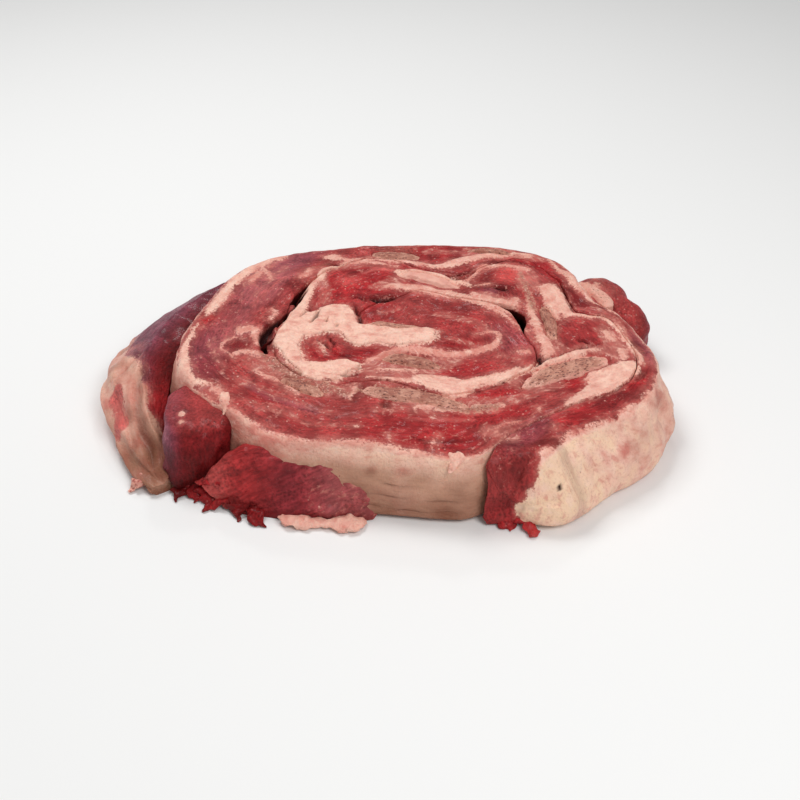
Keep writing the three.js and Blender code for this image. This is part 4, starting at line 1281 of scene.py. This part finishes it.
flap_angle = np.repeat(np.linspace(FLAP_STATIONS[0][0], FLAP_STATIONS[-1][0], FLAP_ROWS), FLAP_RING)
flap_share, flap_under = ring_share(FLAP_RING, FLAP_ROWS)
flap_over = ~flap_under
flap_radius, flap_level = ridge_places(flap_angle, flap_share)
foot_radius = ridge_places(flap_angle, np.zeros(len(flap_angle)))[0]
outer_foot = ridge_places(flap_angle, np.ones(len(flap_angle)))[0]
flap_radius = np.where(flap_under, foot_radius + (outer_foot - foot_radius) * flap_share, flap_radius)
flap_level = np.where(flap_under, 0, flap_level)

# The fat flap's border on the ridge: (angle, share over the ridge where the fat starts).
FLAP_BORDER = [(122, 1.2), (150, 1.15), (163, 0.92), (170, 0.66), (176, 0.5), (184, 0.42), (196, 0.35),
               (206, 0.25), (213, 0.1)]
border = row_at(FLAP_BORDER, flap_angle)[0]
flap_plan = polar(flap_radius, flap_angle)
flap_points = np.column_stack([flap_plan, flap_level])
flap_fat = (flap_share - border) * 42 + 2.4 * value_noise(flap_points, 7.0, 61)
BARE_MUSCLE = ((-124, 12), (7, 9))  # middle and reach of the muscle that shows past the fat's border
flap_fat -= 9 * soft_spot(flap_plan, *BARE_MUSCLE)
flap_fat = np.minimum(np.where(flap_under, 3.0, flap_fat), 4.0)
folds = np.sin((flap_share - border) * 24 + 0.12 * flap_angle + 1.5 * value_noise(flap_points, 12.0, 62))
lift = 1.4 * smoothstep(-0.5, 2.5, flap_fat) + 1.1 * folds * smoothstep(0, 4, flap_fat)
lift += 0.5 * value_noise(flap_points, 8.0, 63) + 0.25 * value_noise(flap_points, 3.0, 64)
lift *= flap_over * smoothstep(0, 4, flap_level)
lift *= np.clip((flap_angle - FLAP_STATIONS[0][0]) / 10, 0, 1)
slope_out = smoothstep(0.2, 0.75, flap_share)
flap_plan = polar(flap_radius + lift * slope_out * 0.8, flap_angle)
flap_level = flap_level + lift * (1 - 0.75 * slope_out)
flap_shows = flap_over * smoothstep(1, 6, flap_level)
# Valleys between the flap's folds, sunk and painted darker as painted shade: depth, then (x, y, width) along
# each.
FLAP_VALLEYS = [
    (2.6, [(-108, -8, 2), (-108.5, -19, 3), (-104, -37, 4), (-99.5, -46, 3.5), (-97, -54, 2)]),
    (1.2, [(-119, -14, 2), (-115, -24, 2.5), (-110, -36, 2.5), (-106, -46, 2)]),
    (1.3, [(-112, 0, 2), (-116, -6, 3), (-121, -10, 2)]),
    (1.5, [(-107.5, -9.5, 2.2), (-106.5, -11, 2)]),
]
flap_shaded_seam = np.zeros(len(flap_plan))
for depth, path in FLAP_VALLEYS:
    inside = stroke_depth(flap_plan, path)
    flap_level = flap_level - depth * smoothstep(-1.6, 1.6, inside) * flap_shows
    flap_shaded_seam = np.maximum(flap_shaded_seam, 0.42 * depth * smoothstep(-0.8, 1.2, inside) * flap_shows)
flap_points = np.column_stack([flap_plan, np.maximum(flap_level, 0)])
flap_tone = 0.5 + 0.45 * value_noise(flap_points, 6.0, 65) + 0.5 * smoothstep(-30, -58, flap_plan[:, 1])
flap_lean = np.tile(np.array(DEEP[:3]), (len(flap_points), 1))
tint(flap_lean, PURPLE, smoothstep(0.26, 0.42, flap_share))
tint(flap_lean, SILVER, 0.22 * smoothstep(0.45, 0.7, flap_share))
# Painted shade: the ridge is darker red on its inner side, down in the valley by the coil.
from_coil = flap_share + 0.08 * value_noise(flap_points, 9.0, 66)
tint(flap_lean, BLOOD_AND_SHADE, 0.8 * (1 - smoothstep(0.2, 0.46, from_coil)))
# Meat shows through the flap's fat here.
FLAP_RED = [(-115.5, -26), (-113, -34), (-118, -19)]
FLAP_RED_REACH = (4.6, 6.5)
for red_middle in FLAP_RED:
    red_here = soft_spot(flap_plan, red_middle, FLAP_RED_REACH) * flap_over
    flap_fat = np.where(red_here > 0.15, flap_fat * (1 - red_here) - 5 * (red_here - 0.4), flap_fat)
    tint(flap_lean, SALMON, np.clip(red_here * 1.6, 0, 1))
RED_LOBE = ((-99.5, -27), (5, 11))  # middle and reach of brighter meat beside the fat
tint(flap_lean, CRIMSON, 0.8 * soft_spot(flap_plan, *RED_LOBE) * flap_over)
flap_grain = np.column_stack([np.radians(flap_angle) * 100, flap_share * 50, flap_level])
flap = tube_mesh("outer_muscle_and_fat_flap", flap_points, FLAP_ROWS, FLAP_RING)
flap_fascia = 0.4 + 0.5 * smoothstep(-25, -50, flap_plan[:, 1]) + 0.3 * value_noise(flap_points, 6.0, 67)
flap_fascia = np.clip(flap_fascia, 0, 1)
give_attributes(flap, flap_fat, flap_tone, flap_fascia, flap_lean, flap_shaded_seam, flap_grain, -0.7)
finish_piece(flap, beef, "meat")

# Lumps of muscle
# Rounded ends of muscle that stand beside the coil: two at the left front and two at the right back.
# They are lean with a thin skin of silverskin, smoother and darker than the sawn face.
LUMPS = [
    # name, middle, half sizes, turn, uneven, squareness from 1, round, down to 0
    ("left_muscle_end", (-80.5, -41, 12), (13.2, 18.6, 17.4), 6, 0.06, 0.62),
    ("left_muscle_foot", (-86, -22, 5), (14, 20, 9), 20, 0.1, 1.0),
    ("back_lobe", (87, 49, 12), (14, 16, 17), 40, 0.06, 0.9),
    ("back_lobe_side", (95, 41, 11), (11, 18, 15), 20, 0.08, 0.9),
]
LUMP_DOTS = [(-85.2, -46.0, 25), (-84.6, -50.5, 23)]  # beads of fat on the left one
LUMP_DOT_RADIUS = 1.6
LOBE_FAT = (78, 49)  # where the fat of the back ones is deepest
LOBE_FAT_DEPTH = 3.0
LUMP_FLAT_FROM = 26.0  # above this height their tops are pressed flat
LUMP_ROWS = 90
LUMP_RING = 140


def lump_points(middle, half, turn, uneven, power):
    """Points of a stretched and uneven ball, ring by ring, flat where it meets the board."""
    tilt = np.repeat(np.linspace(0.01, math.pi - 0.01, LUMP_ROWS), LUMP_RING)
    around = np.tile(np.arange(LUMP_RING) / LUMP_RING * 2 * math.pi, LUMP_ROWS)
    ball = np.column_stack([np.sin(tilt) * np.cos(around), np.sin(tilt) * np.sin(around), np.cos(tilt)])
    wave = np.sin(3 * ball[:, 0] + 2 * ball[:, 2] + middle[0]) * np.cos(4 * ball[:, 1] - ball[:, 2])
    boxy = np.sign(ball) * np.abs(ball) ** power
    spots = boxy * (1 + uneven * wave)[:, None] * np.array(half)
    spots[:, 0] *= 1 + (1 - power) * 0.35 * ball[:, 2]
    skin = (0.6 + (1 - power) * 2) * value_noise(spots + middle, 9.0, 71)
    skin += (0.4 + (1 - power) * 1.6) * value_noise(spots + middle, 3.5, 72)
    creases = np.sin(9 * around + 2.5 * value_noise(spots + middle, 8.0, 74))
    skin += (0.25 + 0.5 * (1 - power) * 4) * creases * smoothstep(0.55, -0.5, ball[:, 2])
    skin += (1 - power) * 9 * value_noise(spots + middle, 4.0, 75) * smoothstep(-0.1, -0.6, ball[:, 2])
    spots += ball * skin[:, None]
    placed = np.column_stack([turned(spots, turn), spots[:, 2]]) + np.array(middle)
    over_top = np.maximum(placed[:, 2] - LUMP_FLAT_FROM, 0)
    placed[:, 2] = np.maximum(placed[:, 2] - 0.6 * over_top, 0)
    return placed, ball


for name, middle, half, turn, uneven, power in LUMPS:
    spots, ball = lump_points(middle, half, turn, uneven, power)
    colour = np.tile(np.array(DEEP[:3]), (len(spots), 1))
    fat_here = np.full(len(spots), -4.0)
    on_left = name.startswith("left")
    if on_left:
        # Painted light and shade: darker red on its lower part, lighter rose on the top, and a silvery
        # painted sheen on the left side over the silverskin's own purple.
        tint(colour, BLOOD_AND_SHADE, 0.7 * smoothstep(0.5, -0.4, ball[:, 2]))
        tint(colour, PURPLE, 0.85 * smoothstep(0.1, 0.7, -ball[:, 0]) * smoothstep(-0.3, 0.4, ball[:, 2]))
        tint(colour, SILVER, 0.4 * smoothstep(0.5, 0.9, -ball[:, 0]) * smoothstep(-0.3, 0.4, ball[:, 2]))
        tint(colour, ROSE, 0.75 * smoothstep(0.6, 0.95, ball[:, 2]))
        tint(colour, MAUVE, 0.5 * smoothstep(0.72, 0.97, ball[:, 2]) * smoothstep(0.1, -0.4, ball[:, 0]))
        for dot in LUMP_DOTS:
            dot_gap = np.linalg.norm((spots - np.array(dot)) * np.array([1, 1, 0.3]), axis=1)
            fat_here = np.maximum(fat_here, 3.4 * (LUMP_DOT_RADIUS - dot_gap))
        # Painted shade: darker towards the foot.
        shade = (1 + 0.25 * value_noise(spots, 6.0, 76)) * (0.45 + 0.55 * smoothstep(1, 13, spots[:, 2]))
        colour *= shade[:, None]
    else:
        tint(colour, ROSE, 0.7 * smoothstep(0.0, 0.9, ball[:, 2]))
        tint(colour, MAUVE, 0.8 * smoothstep(0.3, 0.9, ball[:, 0]))
        fat_here = LOBE_FAT_DEPTH - np.linalg.norm(spots[:, :2] - np.array(LOBE_FAT), axis=1) * 0.35
        fat_here = fat_here + 2.0 * value_noise(spots, 3.0, 73)
    lump_grain = spots[:, [2, 0, 1] if on_left else [1, 0, 2]]
    lump_piece = tube_mesh(name, spots, LUMP_ROWS, LUMP_RING)
    wisps = -0.45 if on_left else -0.2
    give_attributes(lump_piece, fat_here, 0.6, 0.2, colour, 0.0, lump_grain, wisps)
    finish_piece(lump_piece, beef, "meat")

# Front flap
# A torn slab of muscle that leans on the front side of the coil, its raw face out.
# It is bright red where it was pulled apart, with ragged fibres at its foot.
SLAB_STATIONS = [
    # x, foot y, top y, foot height, height, thickness
    (-77, -64, -62, 6.5, 8, 1.5),
    (-73, -66, -61, 4.0, 13, 6),
    (-67, -70, -60, 1.0, 18.5, 10),
    (-60, -72, -60.5, 0, 22.5, 13),
    (-54, -73, -61.5, 0, 23.5, 14),
    (-42, -75, -63.5, 0, 22.5, 14),
    (-30, -76, -65.5, 0, 22.3, 13),
    (-23, -75.5, -66.5, 0, 19.2, 11),
    (-17, -75, -68, 0, 14.5, 9),
    (-12.5, -74.5, -69, 0.5, 9.5, 7),
    (-10.5, -73, -70.5, 1.5, 4, 3),
]
SLAB_ROWS = 210
SLAB_RING = 130
SLAB_FULL = 0.8
SLAB_LEAN = 0.25
SLAB_FIBRES = 28.0  # degrees that the torn fibres rise to the right

slab_x = np.repeat(np.linspace(SLAB_STATIONS[0][0], SLAB_STATIONS[-1][0], SLAB_ROWS), SLAB_RING)
slab_share, slab_under = ring_share(SLAB_RING, SLAB_ROWS)
foot, top, foot_level, tall, thick = row_at(SLAB_STATIONS, slab_x)
slab_rise = np.where(slab_under, 0, np.sin(slab_share * math.pi).clip(0, 1) ** SLAB_FULL)
front = foot + (top - thick * SLAB_LEAN - foot) * slab_rise
back = foot + thick + (top + thick * 0.5 - foot - thick) * slab_rise
slab_y = front + (back - front) * smoothstep(0.25, 0.75, slab_share)
slab_points = np.column_stack([slab_x, slab_y, foot_level + (tall - foot_level) * slab_rise])
slab_grain = np.column_stack([turned(slab_points[:, [0, 2]], -SLAB_FIBRES), slab_y])
slab_push = 1.7 * value_noise(slab_points * np.array([0.7, 1, 1.0]), 6.0, 81)
slab_push += 0.7 * value_noise(slab_grain * np.array([0.35, 1, 1.0]), 2.4, 82)
slab_push += 0.6 * value_noise(slab_points, 1.5, 83)
slab_push = np.maximum(slab_push, -0.7) * smoothstep(0, 2, slab_points[:, 2]) * (slab_share < 0.6)
slab_points[:, 1] -= slab_push * 0.9
slab_points[:, 2] += slab_push * 0.3 * smoothstep(3, 12, slab_points[:, 2])
slab_lean = np.tile(np.array(CRIMSON[:3]), (len(slab_points), 1))
tint(slab_lean, ROSE, np.full(len(slab_points), 0.45))
tint(slab_lean, DEEP, 0.75 * np.exp(-((slab_x + 44) / 11) ** 2))
tint(slab_lean, MAUVE, 0.3 * np.exp(-((slab_x + 40) / 12) ** 2))
tint(slab_lean, DUSKY, 0.7 * smoothstep(-40, -26, slab_x))
# Painted shade: darker red near the board.
tint(slab_lean, BLOOD_AND_SHADE, 0.7 * smoothstep(5, 0, slab_points[:, 2]))
tint(slab_lean, SALMON, 0.4 * smoothstep(-62, -74, slab_x))
slab = tube_mesh("front_flap", slab_points, SLAB_ROWS, SLAB_RING)
slab_wisps = -0.45 + 0.8 * smoothstep(-42, -26, slab_x) + 0.4 * smoothstep(-62, -72, slab_x)
give_attributes(slab, -5.0, 0.5, 0.0, slab_lean, 0.0, slab_grain, slab_wisps)
finish_piece(slab, beef, "meat")

# Torn shreds
# Ragged ends of muscle and membrane at the foot of the loose pieces, where they were pulled apart.
# A pale strip of fat lies under the front flap.
SHREDS = [
    # red share, fat depth, then (x, y, z, width) along the shred
    (0.2, -5, [(-84.5, -55, 5, 8), (-86, -60, 2.2, 6), (-87.2, -63.5, 1, 3.4), (-87, -66, 0.5, 0.8)]),
    (0.5, -5, [(-80, -57, 4, 9), (-80.5, -61.5, 2, 6), (-79.5, -64.5, 0.8, 2.6), (-80, -66.5, 0.4, 0.6)]),
    (0.4, -5, [(-76, -60, 4, 8), (-74.8, -65, 2, 6.5), (-74.6, -68.8, 0.9, 4), (-76, -71.5, 0.4, 0.8)]),
    (0.9, -5, [(-70, -62, 9, 8), (-74.5, -62.2, 8, 6), (-78, -62, 7.2, 3), (-80, -61.6, 6.8, 0.7)]),
    (0.5, -5, [(-67, -66, 4, 8), (-70.5, -68, 2.4, 4.4), (-73, -69.5, 1.4, 2), (-74.5, -70, 0.8, 0.5)]),
    (0.4, -5, [(-57, -71, 3.5, 10), (-55.5, -74.6, 1.8, 6.5), (-53.4, -77.4, 0.9, 3),
            (-51.6, -79, 0.4, 0.6)]),
    (0.2, -5, [(-62, -70, 2.5, 8), (-62.6, -73, 1.2, 4), (-62, -75, 0.6, 1.8), (-62.4, -76.2, 0.3, 0.5)]),
    (1.0, -5, [(43.5, -72, 4, 9), (44.6, -76.5, 2.6, 7.5), (46.2, -80.5, 1.3, 5), (47.6, -82.4, 0.6, 1.2)]),
    (0.7, -5, [(37, -73, 3, 9), (37.5, -76.5, 1.6, 6), (38.4, -78.4, 0.8, 2.6), (38.2, -79.8, 0.4, 0.6)]),
    (0.6, 0.3, [(-101, -53, 4, 7), (-103, -57.5, 2.8, 5), (-104.5, -60, 1.6, 3.4), (-106, -61, 1, 1.2)]),
    (0.7, 3, [(-47.5, -75.5, 2.6, 1.2), (-45, -76.4, 2.2, 4.4), (-38, -77.4, 1.8, 6.4),
            (-28, -78, 1.8, 6.2), (-19, -77.6, 1.6, 6), (-14.5, -76.4, 1.3, 2)]),
    (0.3, 3, [(19, -69, 28.6, 5), (17.4, -72.2, 27.4, 4.6), (15.8, -74.6, 25.6, 2.6),
            (14.8, -75.4, 24.6, 0.7)]),
    (0.3, 2, [(-71, -35, 29.6, 1.4), (-69.6, -39, 29.4, 3), (-69, -43, 28.4, 2.6),
            (-69.6, -46.5, 26.6, 0.8)]),
]
SHRED_ROWS = 40
SHRED_RING = 20


def shred_points(path):
    """Points of a strip that tapers along its path, flatter than it is wide."""
    knots = np.array(path, float)
    places = np.linspace(0, len(knots) - 1, SHRED_ROWS)
    spots = np.arange(len(knots), dtype=float)
    line = np.stack([curve_through(list(zip(spots, knots[:, k])), places) for k in range(4)], axis=1)
    line[:, 3] = np.maximum(line[:, 3], 0.3)
    ahead = np.gradient(line[:, :3], axis=0)
    ahead /= np.linalg.norm(ahead, axis=1)[:, None]
    aside = np.cross(ahead, [0, 0, 1])
    aside /= np.linalg.norm(aside, axis=1)[:, None]
    above = np.cross(aside, ahead)
    around = np.tile(np.arange(SHRED_RING) / SHRED_RING * 2 * math.pi, SHRED_ROWS)
    uneven = 1 + 0.5 * value_noise(line[:, :3], 1.8, 104)
    half = np.repeat(line[:, 3] * uneven, SHRED_RING) / 2
    wide, high = half * np.cos(around), half * np.sin(around) * 0.4
    middle, aside, above = (np.repeat(each, SHRED_RING, axis=0) for each in (line[:, :3], aside, above))
    placed = middle + aside * wide[:, None] + above * high[:, None]
    placed += noise_shift(placed, 2.2, (101, 102, 103)) * np.minimum(half * 0.6, 1.1)[:, None]
    placed[:, 2] = np.maximum(placed[:, 2], 0.05)
    return placed


shreds = []
for redness, fat_depth, path in SHREDS:
    placed = shred_points(path)
    shred_lean = np.tile(np.array(BLOOD_AND_SHADE[:3]), (len(placed), 1))
    tint(shred_lean, CRIMSON, np.full(len(placed), redness))
    tint(shred_lean, SALMON, 0.4 * redness ** 2 * np.repeat(np.linspace(0, 1, SHRED_ROWS), SHRED_RING) ** 2)
    shred = tube_mesh("shred", placed, SHRED_ROWS, SHRED_RING)
    shred_grain = np.column_stack([placed[:, 1], placed[:, 0], placed[:, 2]])
    give_attributes(shred, fat_depth, 0.35, 0.0, shred_lean, 0.0, shred_grain, -0.3)
    shreds.append(shred)
select_only(*shreds)
bpy.ops.object.join()
shreds[0].name = "torn_shreds"
finish_piece(shreds[0], beef, "meat")

# Rib bones
# Ten sections of rib, sawn through with the strip, so that their spongy inside lies in the cut face.
# The saw leaves them level with the meat, brown-grey from marrow, with a thin pale shell.
BONE_PROUD = 0.5
BONE_OVER_FACE = 0.3  # added to the whole of its top
BONE_RIM_SUNK = 1.1  # how far its rim lies below that
BONE_ROUGH = 0.12
BONE_CAP = 14
BONE_SIDE = (26.0, 14.0, 0.2)  # heights of the rings down its side, the last one just over the foot
BONE_TOPS = {10: 27.5}  # height of a top that lies deeper than the cut face
PALE_BONES = {4: 0.95, 2: 0.25, 9: 0.3, 1: 0.1, 10: 0.6}  # smeared with fat from the saw

# Sawn spongy bone: a fine open sponge filled with marrow, so brown-grey with dark pores, and pale at
# its rim, which is solid. It is dry to the eye.
BONE_BASE = linear_colour("#A05A48")
BONE_PALE = linear_colour("#D39A84")
BONE_PORE = linear_colour("#5E2A22")
BONE_STREAK = linear_colour("#8C4A3C")
PORE_SIZE = 0.9  # the real pores are finer; they are drawn this coarse so that they show


def sawn_bone():
    material, tree, shader = new_material("sawn spongy bone")
    place = add_node(tree, "ShaderNodeTexCoord", [], "Object")
    millimetres = add_node(tree, VECTORS, {0: place, 3: 1 / MM}, operation="SCALE")
    rim = add_node(tree, ATTRIBUTE, [], "Fac", attribute_name="rim")
    length_way = add_node(tree, ATTRIBUTE, [], "Vector", attribute_name="grain")
    pore_place, streak_place = (
        add_node(tree, VECTORS, [length_way, drawn_out], operation="MULTIPLY")
        for drawn_out in ((0.5, 1.0, 1.0), (0.12, 0.7, 1.0)))
    sponge, streaks, clouds = (
        add_node(tree, NOISE, {"Vector": vector, "Scale": 1 / size, "Detail": detail, "Roughness": roughness})
        for vector, size, detail, roughness in (
            (pore_place, PORE_SIZE, 4.0, 0.7), (streak_place, 1.0, 3.0, 0.5), (millimetres, 4.0, 2.0, 0.5)))
    cells = add_node(tree, CELLS, {"Vector": pore_place, "Scale": 1 / PORE_SIZE, "Randomness": 1.0},
                     "Distance")
    pores = add_node(tree, MATHS, [sponge, 1.1, cells], operation="MULTIPLY_ADD")
    ragged_rim = add_node(tree, MATHS, [sponge, 1.6, rim], operation="MULTIPLY_ADD")
    pore_mask, streak_mask, pale_cloud, pale_speck, rim_mask = (
        add_node(tree, RANGE, [pattern, low, high, 0.0, most]) for pattern, low, high, most in (
            (pores, 0.88, 0.72, 0.88),
            (streaks, 0.5, 0.62, 0.9),
            (clouds, 0.4, 0.65, 0.5),
            (sponge, 0.54, 0.66, 0.9),
            (ragged_rim, 1.2, 1.5, 0.9)))
    pale = add_node(tree, MATHS, [pale_cloud, rim], operation="ADD", use_clamp=True)
    pale = add_node(tree, MATHS, [pale, pale_speck], operation="ADD", use_clamp=True)
    shell = add_node(tree, MIX, {0: clouds, 6: FAT_WHITE, 7: FAT_PINK}, 2, data_type="RGBA")
    colour = BONE_BASE
    for share, over in ((streak_mask, BONE_STREAK), (pale, BONE_PALE), (pore_mask, BONE_PORE),
                        (rim_mask, shell)):
        colour = add_node(tree, MIX, {0: share, 6: colour, 7: over}, 2, data_type="RGBA")
    bump = add_node(tree, "ShaderNodeBump", {"Height": sponge, "Strength": 0.6, "Distance": 0.8 * MM})
    fill_inputs(tree, shader, {
        "Base Color": colour, "Normal": bump, "Roughness": 0.6, "Subsurface Weight": 0.08,
        "Subsurface Radius": (1.0, 0.5, 0.35), "Subsurface Scale": 1.0 * MM})
    return material


bone_material = sawn_bone()
for number, middle, size, turn in BONES:
    rings = []
    rims = []
    for k in range(BONE_CAP):
        part = (k + 0.5) / BONE_CAP
        ring = bone_outline(middle, size, turn, part)
        crown = BONE_PROUD - (BONE_PROUD + BONE_RIM_SUNK) * smoothstep(0.62, 1.0, part)
        level_here = top_height(ring[:, 0], ring[:, 1]) + BONE_OVER_FACE + crown
        if number in BONE_TOPS:
            level_here = np.full(BONE_RING, BONE_TOPS[number] + crown)
        spots = np.column_stack([ring, level_here])
        spots[:, 2] += BONE_ROUGH * value_noise(spots, 1.2, 91)
        rings.append(spots + face_warp(spots))
        rims.append(np.full(BONE_RING, PALE_BONES.get(number, 0) + 0.45 * smoothstep(0.6, 0.95, part)))
    edge_ring = rings[-1]
    for low in BONE_SIDE:
        rings.append(np.column_stack([edge_ring[:, :2], np.full(BONE_RING, low)]))
        rims.append(np.ones(BONE_RING))
    rings.append(np.column_stack([bone_outline(middle, size, turn, 0.4), np.full(BONE_RING, BONE_SIDE[-1])]))
    rims.append(np.ones(BONE_RING))
    bone_spots = np.concatenate(rings)
    bone = tube_mesh(f"sawn_rib_bone_{number}", bone_spots, len(rings), BONE_RING)
    bone_grain = np.column_stack([turned(bone_spots, -turn), bone_spots[:, 2]])
    index = source_of(bone)
    store_values(bone, "grain", "FLOAT_VECTOR", "vector", bone_grain[index])
    store_values(bone, "rim", "FLOAT", "value", np.concatenate(rims)[index])
    bone.data.attributes.remove(bone.data.attributes["source"])
    finish_piece(bone, bone_material, "bone", f"rib_bone_{number}")
